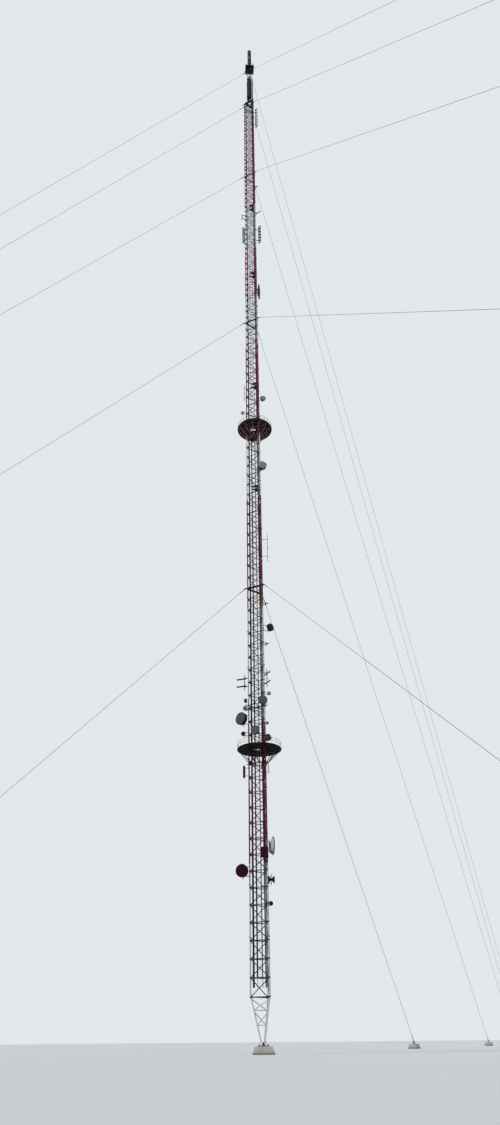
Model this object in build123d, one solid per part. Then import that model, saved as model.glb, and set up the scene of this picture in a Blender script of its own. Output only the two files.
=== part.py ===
from build123d import *
import os
from math import atan2, cos, degrees, hypot, pi, radians, sin, sqrt

# Guyed lattice radio mast at one tenth of its real size, in millimetres, +Z up.
# The origin is in the middle of the underside of the foundation plinth.

# Three-legged lattice column
face_width = 320.0
leg_diameter = 24.0
section_heights = [7095.0, 7910.0, 6595.0, 4320.0]
section_bay_counts = [28, 30, 30, 23]
bar_width = 11.0
bar_thickness = 9.0
joint_gap = 0.2
leg_azimuths = {"left": 180.0, "front": -60.0, "back": 60.0}
face_azimuths = {"front_left": -120.0, "right": 0.0, "back_left": 120.0}

# Foundation and pivot foot
plinth_width = 320.0
plinth_top_width = 240.0
plinth_height = 100.0
base_plate_width = 160.0
base_plate_thickness = 10.0
pivot_diameter = 60.0
pivot_neck_diameter = 24.0
pivot_height = 34.0
spire_height = 576.0
spire_foot_radius = 34.0
spire_leg_diameter = 24.0
round_sides = 24
spire_plate_diameter = 104.0
spire_plate_thickness = 14.0
spire_ring_heights = [0.36, 0.70]

# Slim upper lattice
slim_face_width = 130.0
slim_leg_diameter = 9.0
slim_bay_height = 135.0
slim_bay_count = 16
slim_bar_width = 3.6
slim_bar_thickness = 3.6
neck_height = 200.0
neck_plate_thickness = 8.0

# Guy levels
column_guy_drop = 240.0
top_guy_drop = 200.0
guy_radii = [7800.0, 16000.0, 20500.0, 21400.0, 22200.0]
rope_diameter = 6.0
rope_sides = 5
collar_height = 16.0
collar_thickness = 10.0
lug_thickness = 12.0
lug_reach = 60.0
lug_edge = 15.0
socket_diameter = 17.0
socket_length = 130.0
seat_gap = 0.3

# Ground anchors
block_width = 200.0
block_length = 300.0
block_height = 90.0
block_taper = 40.0
fin_thickness = 16.0
fin_height = 80.0
fin_length = 110.0

# Round platforms and the small floors inside the column
platform_radius = 395.0
platform_heights = [4510.0, 12066.0]
deck_thickness = 8.0
hatch_margin = 14.0
rail_height = 110.0
rail_sides = 24
rail_width = 5.0
post_count = 12
strut_width = 11.0
strut_count = 12
strut_drop = 270.0
strut_setback = 30.0
rib_depth = 12.0
rest_floor_heights = [10370.0, 13490.0, 17680.0, 20760.0]
rest_floor_thickness = 6.0
rest_floor_edge = -70.0

# Top platform and cylinder
top_deck_width = 300.0
top_deck_thickness = 8.0
top_rail_height = 100.0
top_kick_height = 14.0
cylinder_diameter = 128.0
cylinder_height = 1290.0
cylinder_band = 320.0
cylinder_rib = 5.0
cap_height = 16.0
cap_diameter = 60.0

# Ladder and feeder bundles
service_margin = 120.0
ladder_width = 86.0
ladder_offset = -40.0
stringer_width = 8.0
ladder_tie_bays = 9
feeder_width = 34.0
feeder_thickness = 12.0
feeder_offset = -110.0
trunk_width = 36.0
trunk_thickness = 16.0
trunk_offset = 100.0

# Antennas and what carries them
pipe_diameter = 8.0
arm_width = 6.0
arm_inset = 0.2
pipe_sides = 6
drum_sides = 16
drum_depth_share = 0.42
dish_sides = 16
dish_depth_share = 0.20
dish_hub_share = 0.25
dish_wall = 4.0
dome_rim_share = 0.05
dome_crown_share = 0.45
dome_depth_share = 0.12
element_width = 7.0
mount_ring_height = 5300.0
mount_ring_spread = 76.0
mount_ring_overhang = 60.0
mount_beam_width = 8.0
mount_beam_height = 10.0
array_foot = 27000.0
array_pitch = 160.0
array_tiers = 8
array_panel_width = 110.0
array_panel_height = 116.0
array_panel_depth = 22.0
array_panel_setback = 30.0
array_bracket_width = 8.0

# Each row: leg, bearing of the arms, reach of the arms, height, diameter, bearing it looks along
low_drums = [("left", 180.0, 108.0, 2488.0, 200.0, -110.0),
             ("front", 0.0, 33.0, 1987.0, 63.0, -60.0)]
platform_drums = [("front", 0.0, 28.0, 4672.0, 120.0, -56.0),
                  ("left", 180.0, 87.0, 4793.0, 80.0, -120.0),
                  ("left", 180.0, 86.0, 5063.0, 225.0, -137.0),
                  ("front", 0.0, 33.0, 4948.0, 48.0, -40.0),
                  ("left", -150.0, 62.0, 5262.0, 80.0, -120.0),
                  ("front", -120.0, 84.0, 5337.0, 158.0, -85.0)]
high_drums = [("front", 0.0, 106.0, 6849.0, 150.0, -50.0),
              ("front", -40.0, 39.0, 10810.0, 200.0, -82.0),
              ("left", 180.0, 79.0, 12575.0, 85.0, -140.0),
              ("front", 0.0, 91.0, 12886.0, 128.0, -85.0)]
open_dishes = [("front", 0.0, 33.0, 2857.0, 275.0, 5.0),
               ("front", 0.0, 83.0, 5507.0, 72.0, -80.0)]
domed_dishes = [("front", 0.0, 25.0, 16772.0, 380.0, -6.0)]

# Drum on rails across a face: face, place along it, height, diameter, bearing it looks along
rail_drum = ("front_left", -10.0, 4822.0, 155.0, -105.0)

# Horns back to back: leg, bearing, reach, height, diameter, length over both, bearing they look
horn_pair = ("front", -56.0, 90.0, 2328.0, 118.0, 100.0, 0.0)

# Each row: leg, bearing, reach, height, width, tallness, depth, bearing it looks along
flat_panels = [("front", -144.0, 64.0, 2744.0, 132.0, 170.0, 26.0, -90.0),
               ("left", 180.0, 79.0, 4113.0, 24.0, 210.0, 22.0, 180.0),
               ("left", 180.0, 49.0, 5423.0, 45.0, 72.0, 30.0, -120.0)]

# Each row: leg, bearing, reach, lower end, upper end, elements, their length, the share of it
# that stands out behind the pipe, and their bearing
lower_dipoles = [("left", 165.0, 76.0, 5650.0, 5940.0, 2, 190.0, 0.2, 158.0),
                 ("front", 0.0, 56.0, 5640.0, 5990.0, 2, 225.0, 0.5, -64.0),
                 ("front", 0.0, 57.0, 6480.0, 6550.0, 1, 70.0, 0.2, -20.0),
                 ("front", 0.0, 60.0, 7350.0, 7420.0, 1, 70.0, 0.2, -20.0),
                 ("front", 0.0, 123.0, 8357.0, 9048.0, 1, 25.0, 0.0, 0.0),
                 ("front", 0.0, 50.0, 4035.0, 4209.0, 1, 20.0, 0.0, 0.0),
                 ("left", 180.0, 52.0, 12941.0, 13503.0, 3, 20.0, 0.0, 180.0)]
upper_dipoles = [("left", 180.0, 30.0, 19023.0, 19766.0, 5, 60.0, 0.0, -150.0),
                 ("front", 0.0, 85.0, 18821.0, 19608.0, 6, 70.0, 0.0, -50.0),
                 ("left", 180.0, 94.0, 20141.0, 20412.0, 1, 20.0, 0.0, 90.0),
                 ("front", 0.0, 50.0, 20215.0, 20285.0, 1, 140.0, 0.0, -37.0),
                 ("front", 0.0, 66.0, 21560.0, 21630.0, 1, 40.0, 0.0, -45.0),
                 ("front", 0.0, 74.0, 24850.0, 26034.0, 8, 70.0, 0.0, -45.0),
                 ("left", 180.0, 30.0, 26520.0, 26600.0, 1, 60.0, 0.0, 180.0)]

# Values that follow from the driving sizes
leg_radius = leg_diameter / 2
leg_circle = face_width / sqrt(3)
face_distance = face_width / (2 * sqrt(3))
pivot_foot = plinth_height + base_plate_thickness
spire_foot = pivot_foot + pivot_height
lattice_foot = spire_foot + spire_height
section_feet = [lattice_foot + sum(section_heights[:number])
                for number in range(len(section_heights))]
section_bays = [height / count for height, count in zip(section_heights, section_bay_counts)]
bay_levels = [foot + number * bay
              for foot, bay, count in zip(section_feet, section_bays, section_bay_counts)
              for number in range(count)]
lattice_top = lattice_foot + sum(section_heights)
slim_circle = slim_face_width / sqrt(3)
slim_face_distance = slim_face_width / (2 * sqrt(3))
slim_foot = lattice_top + neck_height
slim_top = slim_foot + slim_bay_count * slim_bay_height
top_deck_top = slim_top + top_deck_thickness
column_guy_heights = section_feet[1:] + [lattice_top - column_guy_drop]
guy_heights = column_guy_heights + [slim_top - top_guy_drop]


def polar(radius, azimuth, z=0.0):
    """Point at a radius and azimuth in degrees round the mast's axis."""
    return Vector(radius * cos(radians(azimuth)), radius * sin(radians(azimuth)), z)


def turned(shape, azimuth):
    """Shape turned about the mast's axis from facing +X to an azimuth."""
    return Rot(0, 0, azimuth) * shape


def bar(start, end, width, sides=4):
    """Straight bar with a regular section between two points."""
    start = Vector(*start)
    end = Vector(*end)
    run = end - start
    side = Vector(0, 0, 1).cross(run)
    if side.length < 1e-6:
        side = Vector(1, 0, 0)
    plane = Plane(origin=start, x_dir=side, z_dir=run)
    section = RegularPolygon(width / 2, sides)
    if sides == 4:
        section = Rectangle(width, width)
    return extrude(plane * section, run.length)


def equal_triangle(inradius):
    """Sketch of a triangle whose corners point along the three leg azimuths."""
    corners = [polar(2 * inradius, azimuth) for azimuth in leg_azimuths.values()]
    return make_face(Polyline(*corners, close=True))


def save(name, *solids):
    """Write one named piece, of one or more solids, to its STEP file."""
    flat = []
    for solid in solids:
        flat += list(solid.solids())
    shape = flat[0] if len(flat) == 1 else Compound(flat)
    shape.label = name
    export_step(shape, f"parts/{name}.step")


def face_panel(width, leg_size, bay, count, foot, bar_size, thickness, distance, rings):
    """Flat zigzag side of a lattice of equal bays above a foot, facing +X."""
    reach = width / 2 - leg_size / 2 - joint_gap
    pitch = atan2(bay, 2 * reach)
    rise = bar_size / 2 / cos(pitch)
    half = bar_size / 2
    bars = []
    for number in range(count):
        level = foot + number * bay
        low, high = level, level + bay
        if number % 2:
            low, high = high, low
        bars.append(Polygon((-reach, low - rise), (reach, high - rise), (reach, high + rise),
                            (-reach, low + rise), align=None))
        if rings or number == 0:
            bars.append(Polygon((-reach, level - half), (reach, level - half),
                                (reach, level + half), (-reach, level + half), align=None))
    top = foot + count * bay
    window = Polygon((-reach, foot - half), (reach, foot - half), (reach, top - half),
                     (-reach, top - half), align=None)
    outline = (Sketch() + bars) & window
    panel = extrude(Plane.XZ * outline, thickness / 2, both=True)
    return Rot(0, 0, 90) * (Pos(0, -distance, 0) * panel)


def frustum(length, width, height, taper):
    """Block whose four sides lean in by half the taper up to its top."""
    lean = degrees(atan2(taper / 2, height))
    return extrude(Rectangle(length, width), height, taper=lean)


def flat_face(points):
    """Flat face between points in order."""
    return Face(Wire.make_polygon(points))


def turned_piece(plane, radii, depths, sides):
    """Many-sided round piece whose radius changes evenly between depths along a plane."""
    rings = []
    for radius, depth in zip(radii, depths):
        turns = [2 * pi * index / sides for index in range(sides)]
        rings.append([plane.from_local_coords(Vector(radius * cos(turn), radius * sin(turn), depth))
                      for turn in turns])
    faces = [flat_face(rings[0]), flat_face(rings[-1])]
    for lower, upper in zip(rings, rings[1:]):
        for index in range(sides):
            after = (index + 1) % sides
            faces.append(flat_face([lower[index], lower[after], upper[after], upper[index]]))
    return Part() + Solid(Shell(faces))


def build_plinth():
    """Concrete plinth with sloping sides, its steel plate and the pivot on it."""
    save("foundation_plinth", frustum(plinth_width, plinth_width, plinth_height,
                                      plinth_width - plinth_top_width))
    plate = Pos(0, 0, plinth_height + base_plate_thickness / 2) * Box(
        base_plate_width, base_plate_width, base_plate_thickness)
    save("base_plate", plate)
    radii = [pivot_diameter / 2, pivot_diameter / 2, pivot_neck_diameter / 2,
             pivot_neck_diameter / 2]
    depths = [0, pivot_height * 0.3, pivot_height * 0.75, pivot_height]
    save("pivot_bearing", turned_piece(Plane.XY.offset(pivot_foot), radii, depths, round_sides))


def build_spire():
    """Tapered foot that gathers the three legs onto the pivot."""
    plate_top = spire_foot + spire_plate_thickness
    foot = extrude(Plane.XY.offset(spire_foot) * RegularPolygon(spire_plate_diameter / 2,
                                                                round_sides),
                   spire_plate_thickness)
    pieces = []

    def radius_at(share):
        return spire_foot_radius + (leg_circle - spire_foot_radius) * share

    def height_at(share):
        return plate_top + (lattice_foot - plate_top) * share

    azimuths = list(leg_azimuths.values())
    for azimuth in azimuths:
        pieces.append(bar(polar(spire_foot_radius, azimuth, spire_foot + 2),
                          polar(leg_circle, azimuth, lattice_foot + spire_leg_diameter),
                          spire_leg_diameter, 6))
    shares = [0.0] + spire_ring_heights + [1.0]
    for index, azimuth in enumerate(azimuths):
        nearest = azimuths[(index + 1) % 3]
        for share in spire_ring_heights:
            pieces.append(bar(polar(radius_at(share), azimuth, height_at(share)),
                              polar(radius_at(share), nearest, height_at(share)), bar_width))
        for low, high in zip(shares[1:-1], shares[2:]):
            pieces.append(bar(polar(radius_at(low), azimuth, height_at(low)),
                              polar(radius_at(high) - leg_radius, nearest, height_at(high) - leg_diameter),
                              bar_width))
    trim = Pos(0, 0, lattice_foot - bar_width / 2 + leg_diameter * 5) * Box(
        face_width * 3, face_width * 3, leg_diameter * 10)
    save("base_spire", (foot + pieces) - trim)


def build_column():
    """Legs and flat zigzag sides of the main lattice."""
    leg_foot = lattice_foot - bar_width / 2
    leg_length = lattice_top + bar_width - leg_foot
    for name, azimuth in leg_azimuths.items():
        centre = polar(leg_circle, azimuth, leg_foot + leg_length / 2)
        save(f"leg_{name}", Pos(centre) * Cylinder(leg_radius, leg_length))
    for number, foot in enumerate(section_feet):
        panel = face_panel(face_width, leg_diameter, section_bays[number],
                           section_bay_counts[number], foot, bar_width, bar_thickness,
                           face_distance, True)
        for name, azimuth in face_azimuths.items():
            save(f"lattice_{name}_{number + 1}", turned(panel, azimuth))


def build_neck():
    """Plate on the main legs and short struts that carry the slim lattice."""
    foot = lattice_top + bar_width
    outer = equal_triangle(face_distance + leg_radius)
    plate = extrude(Plane.XY.offset(foot) * (outer - equal_triangle(slim_face_distance)),
                    neck_plate_thickness)
    pieces = []
    for azimuth in leg_azimuths.values():
        pieces.append(bar(polar(leg_circle, azimuth, foot + neck_plate_thickness / 2),
                          polar(slim_circle, azimuth, slim_foot + slim_leg_diameter),
                          slim_leg_diameter * 1.3, 6))
        pieces.append(bar(polar(slim_circle, azimuth, foot + neck_plate_thickness / 2),
                          polar(slim_circle, azimuth, slim_foot + slim_leg_diameter),
                          slim_leg_diameter, 8))
    trim = Pos(0, 0, slim_foot + slim_leg_diameter * 5) * Box(face_width, face_width * 2,
                                                            slim_leg_diameter * 10)
    corner = Cylinder(leg_circle + leg_radius, neck_height * 3)
    save("neck_frame", ((plate + pieces) - trim) & (Pos(0, 0, foot) * corner))


def build_slim_lattice():
    """Slim three-legged lattice between the neck and the top platform."""
    length = slim_top - slim_foot
    legs = []
    sides = []
    panel = face_panel(slim_face_width, slim_leg_diameter, slim_bay_height, slim_bay_count,
                       slim_foot + slim_bar_width / 2, slim_bar_width, slim_bar_thickness,
                       slim_face_distance, False)
    for azimuth in leg_azimuths.values():
        legs.append(bar(polar(slim_circle, azimuth, slim_foot),
                        polar(slim_circle, azimuth, slim_foot + length), slim_leg_diameter, 8))
    for azimuth in face_azimuths.values():
        sides.append(turned(panel, azimuth))
    save("slim_legs", *legs)
    save("slim_sides", *sides)


def guy_line(level):
    """Radius and height of a guy's two pins, and its unit direction outwards and down."""
    on_column = level < len(column_guy_heights)
    circle = leg_circle if on_column else slim_circle
    size = leg_radius if on_column else slim_leg_diameter / 2
    start_radius = circle + size * 2 + collar_thickness * 2
    start_height = guy_heights[level]
    end_radius = guy_radii[level]
    end_height = block_height + fin_height
    run = hypot(end_radius - start_radius, start_height - end_height)
    along = (end_radius - start_radius) / run
    down = (start_height - end_height) / run
    return start_radius, start_height, end_radius, end_height, along, down


def build_collar(level):
    """Triangular collar round the legs with a lug for each guy."""
    inradius = face_distance + leg_radius if level < len(column_guy_heights) else (
        slim_face_distance + slim_leg_diameter / 2)
    start_radius, start_height, _, _, along, down = guy_line(level)
    inner = equal_triangle(inradius + seat_gap)
    outer = equal_triangle(inradius + seat_gap + collar_thickness)
    ring = extrude(Plane.XY.offset(start_height - collar_height / 2) * (outer - inner),
                   collar_height)
    inner_corner = 2 * (inradius + seat_gap) + seat_gap * 5
    tip_radius = start_radius + lug_reach * along
    tip_height = start_height - lug_reach * down
    edge = lug_edge
    lug_points = [(inner_corner, start_height - collar_height / 2),
                  (inner_corner, start_height + collar_height / 2),
                  (start_radius, start_height + collar_height / 2),
                  (tip_radius + edge * down / 2, tip_height + edge * along / 2),
                  (tip_radius - edge * down / 2, tip_height - edge * along / 2)]
    lug = extrude(Plane.XZ * Polygon(*lug_points, align=None), lug_thickness / 2, both=True)
    collar = ring
    for azimuth in leg_azimuths.values():
        collar += turned(lug, azimuth)
    save(f"guy_collar_{level + 1}", collar)


def build_ropes(level):
    """Three guy ropes with an end socket at the mast and at the anchor."""
    start_radius, start_height, end_radius, end_height, along, down = guy_line(level)
    reach = lug_reach + seat_gap
    high = Vector(start_radius + reach * along, 0, start_height - reach * down)
    low = Vector(end_radius - seat_gap * along, 0, end_height + seat_gap * down)
    step = Vector(along, 0, -down)
    overlap = step * socket_length / 2
    rope = bar(high + overlap, low - overlap, rope_diameter, rope_sides)
    upper = bar(high, high + step * socket_length, socket_diameter, 6)
    lower = bar(low - step * socket_length, low, socket_diameter, 6)
    whole = rope + upper + lower
    save(f"guy_ropes_{level + 1}", *[turned(whole, azimuth) for azimuth in leg_azimuths.values()])


def anchor_fin(level):
    """Upright steel fin whose sloping edge faces up along the guy."""
    _, _, end_radius, end_height, along, down = guy_line(level)
    edge = lug_edge
    points = [(end_radius + edge * down / 2, end_height + edge * along / 2),
              (end_radius - edge * down / 2, end_height - edge * along / 2),
              (end_radius - fin_length * 0.25, block_height),
              (end_radius + fin_length, block_height),
              (end_radius + fin_length * 0.7, block_height + fin_height * 0.4)]
    return extrude(Plane.XZ * Polygon(*points, align=None), fin_thickness / 2, both=True)


def build_anchors():
    """Concrete anchor blocks and the steel fins on them."""
    groups = {"inner": [0], "middle": [1], "outer": [2, 3, 4]}
    fins = []
    for name, levels in groups.items():
        blocks = []
        for level in levels:
            centre = guy_radii[level] + fin_length / 4
            block = Pos(centre, 0, 0) * frustum(block_length, block_width, block_height,
                                                block_taper)
            blocks += [turned(block, azimuth) for azimuth in leg_azimuths.values()]
            fins += [turned(anchor_fin(level), azimuth) for azimuth in leg_azimuths.values()]
        save(f"anchor_blocks_{name}", *blocks)
    save("anchor_fins", *fins)


def leg_hole():
    """Sketch of the eight-sided hole that a floor leaves round a leg."""
    return RegularPolygon(leg_radius + seat_gap, 8, major_radius=False)


def column_floor():
    """Sketch of a floor inside the column, open at its hatch and round what runs up it."""
    inside = face_distance - bar_thickness / 2 - seat_gap
    floor = equal_triangle(inside)
    for azimuth in leg_azimuths.values():
        floor -= Pos(polar(leg_circle, azimuth)) * leg_hole()
    floor -= Pos(ladder_offset, 0) * Rectangle(ladder_width + hatch_margin * 2, hatch_margin * 4)
    for thickness, width, offset in ((feeder_thickness, feeder_width, feeder_offset),
                                     (trunk_thickness, trunk_width, trunk_offset)):
        sleeve = Pos(inside, offset) * Rectangle((thickness + seat_gap) * 2,
                                                 width + seat_gap * 2)
        floor -= turned(sleeve, face_azimuths["front_left"])
    return floor


def build_platform(number):
    """Round work platform with its inner floor, railing and raking brackets."""
    foot = platform_heights[number - 1]
    outside = face_distance + bar_thickness / 2 + seat_gap
    disc = RegularPolygon(platform_radius, rail_sides) - equal_triangle(outside)
    for azimuth in leg_azimuths.values():
        disc -= Pos(polar(leg_circle, azimuth)) * leg_hole()
    deck = extrude(Plane.XY.offset(foot) * disc, deck_thickness)
    inner = extrude(Plane.XY.offset(foot) * column_floor(), deck_thickness)
    save(f"platform_{number}_deck", deck, inner)

    rim = platform_radius - rail_width
    base = foot + deck_thickness
    ring = RegularPolygon(rim, rail_sides) - RegularPolygon(rim - rail_width, rail_sides)
    rails = []
    for share in (0.5, 1.0):
        level = base + rail_height * share - rail_width
        rails.append(extrude(Plane.XY.offset(level) * ring, rail_width))
    for index in range(post_count):
        post = Pos(rim - rail_width * 0.75, 0, base + rail_height / 2) * Box(
            rail_width, rail_width, rail_height)
        rails.append(turned(post, 360.0 * index / post_count))
    save(f"platform_{number}_railing", Part() + rails)

    seat = face_distance + leg_radius + seat_gap
    ring = equal_triangle(seat + strut_width) - equal_triangle(seat)
    collar = extrude(Plane.XY.offset(foot - strut_drop) * ring, strut_width)
    brackets = [collar]
    for index in range(strut_count):
        azimuth = 360.0 * (index + 0.5) / strut_count
        turn = radians((azimuth + 60.0) % 120.0 - 60.0)
        near = (seat + strut_width) / cos(turn)
        far = platform_radius - strut_setback
        low = foot - strut_drop
        points = [(near, low), (near, low + strut_width), (far - strut_width * 2, foot - rib_depth),
                  (near + strut_width, foot - rib_depth), (near + strut_width, foot),
                  (far, foot), (far, foot - rib_depth)]
        plate = Plane.XZ * Polygon(*points, align=None)
        brackets.append(turned(extrude(plate, strut_width / 2, both=True), azimuth))
    save(f"platform_{number}_struts", *brackets)


def build_rest_floors():
    """Small floors inside the column, from the right side to a little past its axis."""
    floors = []
    part = Pos(rest_floor_edge + face_width, 0) * Rectangle(face_width * 2, face_width * 2)
    for height in rest_floor_heights:
        floors.append(extrude(Plane.XY.offset(height) * (column_floor() & part),
                              rest_floor_thickness))
    save("rest_floors", *floors)


def build_top():
    """Square platform on the slim lattice and the cylinder on top of it."""
    deck = Pos(0, 0, slim_top + top_deck_thickness / 2) * Box(top_deck_width, top_deck_width,
                                                              top_deck_thickness)
    save("top_platform_deck", deck)
    half = top_deck_width / 2 - rail_width
    ring = Rectangle(half * 2, half * 2) - Rectangle(half * 2 - rail_width * 2,
                                                     half * 2 - rail_width * 2)
    rails = extrude(Plane.XY.offset(top_deck_top) * ring, top_kick_height)
    for share in (0.5, 1.0):
        rails += extrude(Plane.XY.offset(top_deck_top + top_rail_height * share - rail_width)
                         * ring, rail_width)
    for x in (-1, 0, 1):
        for y in (-1, 0, 1):
            if x or y:
                post = Box(rail_width, rail_width, top_rail_height)
                rails += Pos(x * (half - rail_width / 2), y * (half - rail_width / 2),
                             top_deck_top + top_rail_height / 2) * post
    save("top_platform_railing", rails)

    radius = cylinder_diameter / 2
    base = Plane.XY.offset(top_deck_top)
    cylinder = turned_piece(base, [radius, radius, cap_diameter / 2],
                            [0, cylinder_height, cylinder_height + cap_height], round_sides)
    cylinder += extrude(base * RegularPolygon(radius + cylinder_rib * 2, round_sides),
                        cylinder_rib * 2)
    level = cylinder_band
    while level < cylinder_height - cylinder_band / 2:
        cylinder += extrude(base.offset(level) * RegularPolygon(radius + cylinder_rib,
                                                                round_sides), cylinder_rib)
        level += cylinder_band
    save("top_cylinder", cylinder)


def build_services():
    """Ladder and feeder bundles inside the column."""
    length = lattice_top - lattice_foot - service_margin * 2
    middle = (lattice_foot + lattice_top) / 2
    ladder = None
    for side in (-1, 1):
        stringer = Pos(ladder_offset + side * ladder_width / 2, 0, middle) * Box(
            stringer_width, stringer_width, length)
        ladder = stringer if ladder is None else ladder + stringer
    extras = []
    seat = face_distance - bar_thickness / 2 - seat_gap
    start = ladder_offset - ladder_width / 2
    for level in bay_levels[ladder_tie_bays::ladder_tie_bays]:
        extras.append(Pos((start + seat) / 2, 0, level) * Box(seat - start, stringer_width,
                                                              stringer_width))
    save("ladder", ladder + extras)

    inner = face_distance - bar_thickness / 2 - seat_gap
    feeder = Pos(inner - feeder_thickness / 2, feeder_offset, middle) * Box(
        feeder_thickness, feeder_width, length)
    save("feeder_bundle_left", turned(feeder, face_azimuths["front_left"]))
    trunk = Pos(inner - trunk_thickness / 2, trunk_offset, middle) * Box(
        trunk_thickness, trunk_width, length)
    save("feeder_bundle_right", turned(trunk, face_azimuths["front_left"]))


def carrier(leg, bearing, reach, low, high):
    """Upright pipe beside a leg, held off it by two level arms, and the point it stands over."""
    centre = polar(leg_circle, leg_azimuths[leg])
    foot = centre + polar(reach, bearing)
    inset = (high - low) * arm_inset
    pieces = [bar(foot + Vector(0, 0, low), foot + Vector(0, 0, high), pipe_diameter, pipe_sides)]
    for level in (low + inset, high - inset):
        start = centre + polar(leg_radius + seat_gap, bearing, level)
        pieces.append(bar(start, foot + Vector(0, 0, level), arm_width))
    return foot, pieces


def facing(point, height, bearing, forward=0.0):
    """Upright plane in front of a point, looking along a bearing."""
    return Plane(origin=point + polar(forward, bearing, height), x_dir=polar(1.0, bearing + 90.0),
                 z_dir=polar(1.0, bearing))


def drum_antenna(leg, bearing, reach, height, diameter, look):
    """Closed round shroud on a pipe beside a leg."""
    half = diameter * 0.6
    foot, pieces = carrier(leg, bearing, reach, height - half, height + half)
    plane = facing(foot, height, look, pipe_diameter)
    pieces.append(extrude(plane * RegularPolygon(diameter / 2, drum_sides),
                          diameter * drum_depth_share))
    pieces.append(extrude(facing(foot, height, look) * Rectangle(pipe_diameter * 2,
                                                                  pipe_diameter * 3),
                          pipe_diameter * 1.5))
    return Part() + pieces


def cone(plane, diameter, depth):
    """Many-sided cone that widens forward from its hub."""
    return turned_piece(plane, [diameter * dish_hub_share / 2, diameter / 2], [0, depth],
                        dish_sides)


def dish_antenna(leg, bearing, reach, height, diameter, look):
    """Open dish on a pipe beside a leg."""
    half = diameter * 0.4
    foot, pieces = carrier(leg, bearing, reach, height - half, height + half)
    depth = diameter * dish_depth_share
    shell = cone(facing(foot, height, look, pipe_diameter), diameter, depth)
    shell -= cone(facing(foot, height, look, pipe_diameter + dish_wall), diameter, depth)
    hub = extrude(facing(foot, height, look) * Rectangle(pipe_diameter * 2, pipe_diameter * 2),
                  pipe_diameter + dish_wall / 2)
    feed = extrude(facing(foot, height, look) * Rectangle(pipe_diameter, pipe_diameter),
                   depth * 1.4)
    return Part() + (pieces + [shell, hub, feed])


def domed_dish(leg, bearing, reach, height, diameter, look):
    """Shallow dish closed by a domed cover, on a pipe beside a leg."""
    half = diameter * 0.4
    foot, pieces = carrier(leg, bearing, reach, height - half, height + half)
    rim = diameter * dome_rim_share
    crown = rim + diameter * dome_depth_share
    radii = [diameter * dish_hub_share / 2, diameter / 2, diameter / 2,
             diameter * dome_crown_share / 2]
    shell = turned_piece(facing(foot, height, look, pipe_diameter / 2), radii,
                         [0, rim, rim * 2, crown], dish_sides)
    return Part() + (pieces + [shell])


def twin_horn(leg, bearing, reach, height, diameter, length, look):
    """Two horns back to back on a pipe."""
    half = diameter * 0.7
    foot, pieces = carrier(leg, bearing, reach, height - half, height + half)
    for side in (look, look + 180.0):
        pieces.append(cone(facing(foot, height, side), diameter, length / 2))
    return Part() + pieces


def panel_antenna(leg, bearing, reach, height, width, tall, depth, look):
    """Flat upright panel on a pipe beside a leg."""
    half = tall * 0.55
    foot, pieces = carrier(leg, bearing, reach, height - half, height + half)
    plane = facing(foot, height, look)
    pieces.append(extrude(plane * Rectangle(width, tall), depth + pipe_diameter / 2))
    return Part() + pieces


def dipole_stack(leg, bearing, reach, low, high, count, length, behind, look):
    """Pipe beside a leg with level elements that point along a bearing."""
    foot, pieces = carrier(leg, bearing, reach, low, high)
    for index in range(count):
        level = low + (high - low) * (index + 0.5) / count
        start = foot - polar(length * behind, look) + Vector(0, 0, level)
        pieces.append(bar(start, start + polar(length, look), element_width))
    return Part() + pieces


def side_drum(face, along, height, diameter, look):
    """Drum on two level rails across the outside of a face of the column."""
    out = face_distance + leg_radius + seat_gap
    rails = []
    half = diameter * 0.6
    for level in (height - half * 0.6, height + half * 0.6):
        rails.append(Pos(out + arm_width / 2, 0, level) * Box(arm_width, face_width, arm_width))
    rails.append(Pos(out + arm_width, along, height) * Box(pipe_diameter, pipe_diameter, half * 2))
    frame = turned(Part() + rails, face_azimuths[face])
    point = polar(out + arm_width, face_azimuths[face]) + polar(along, face_azimuths[face] + 90.0)
    clearance = pipe_diameter + diameter / 2 * abs(sin(radians(look - face_azimuths[face])))
    shroud = extrude(facing(point, height, look, clearance)
                     * RegularPolygon(diameter / 2, drum_sides), diameter * drum_depth_share)
    hub = extrude(facing(point, height, look) * Rectangle(pipe_diameter * 2, pipe_diameter * 2),
                  clearance + pipe_diameter)
    return frame + [shroud, hub]


def build_mount_ring():
    """Two levels of beams round the column whose ends stand out past the legs."""
    out = face_distance + leg_radius + seat_gap + mount_beam_width / 2
    end = face_width / 2 + mount_ring_overhang
    beams = []
    for side in (-1, 1):
        level = mount_ring_height + side * mount_ring_spread / 2
        beam = Pos(out, 0, level) * Box(mount_beam_width, end * 2, mount_beam_height)
        post = Pos(out, side * (end - mount_beam_width / 2), mount_ring_height) * Box(
            mount_beam_width, mount_beam_width, mount_ring_spread)
        for azimuth in face_azimuths.values():
            beams.append(turned(beam, azimuth))
            beams.append(turned(post, azimuth))
    save("mount_ring", Part() + beams)


def array_panels():
    """Tiers of flat panels round the slim lattice, each on a bracket between two legs."""
    panels = []
    seat = slim_face_distance + slim_leg_diameter / 2 + seat_gap
    for tier in range(array_tiers):
        level = array_foot + (tier + 0.5) * array_pitch
        face = seat + array_bracket_width + array_panel_setback
        rail = Pos(seat + array_bracket_width / 2, 0, level) * Box(
            array_bracket_width, slim_face_width, array_bracket_width)
        stem = Pos((seat + face) / 2, 0, level) * Box(face - seat, array_bracket_width,
                                                      array_bracket_width)
        panel = Pos(face + array_panel_depth / 2, 0, level) * Box(
            array_panel_depth, array_panel_width, array_panel_height)
        for azimuth in face_azimuths.values():
            panels.append(turned(Part() + [rail, stem, panel], azimuth))
    return panels


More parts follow.
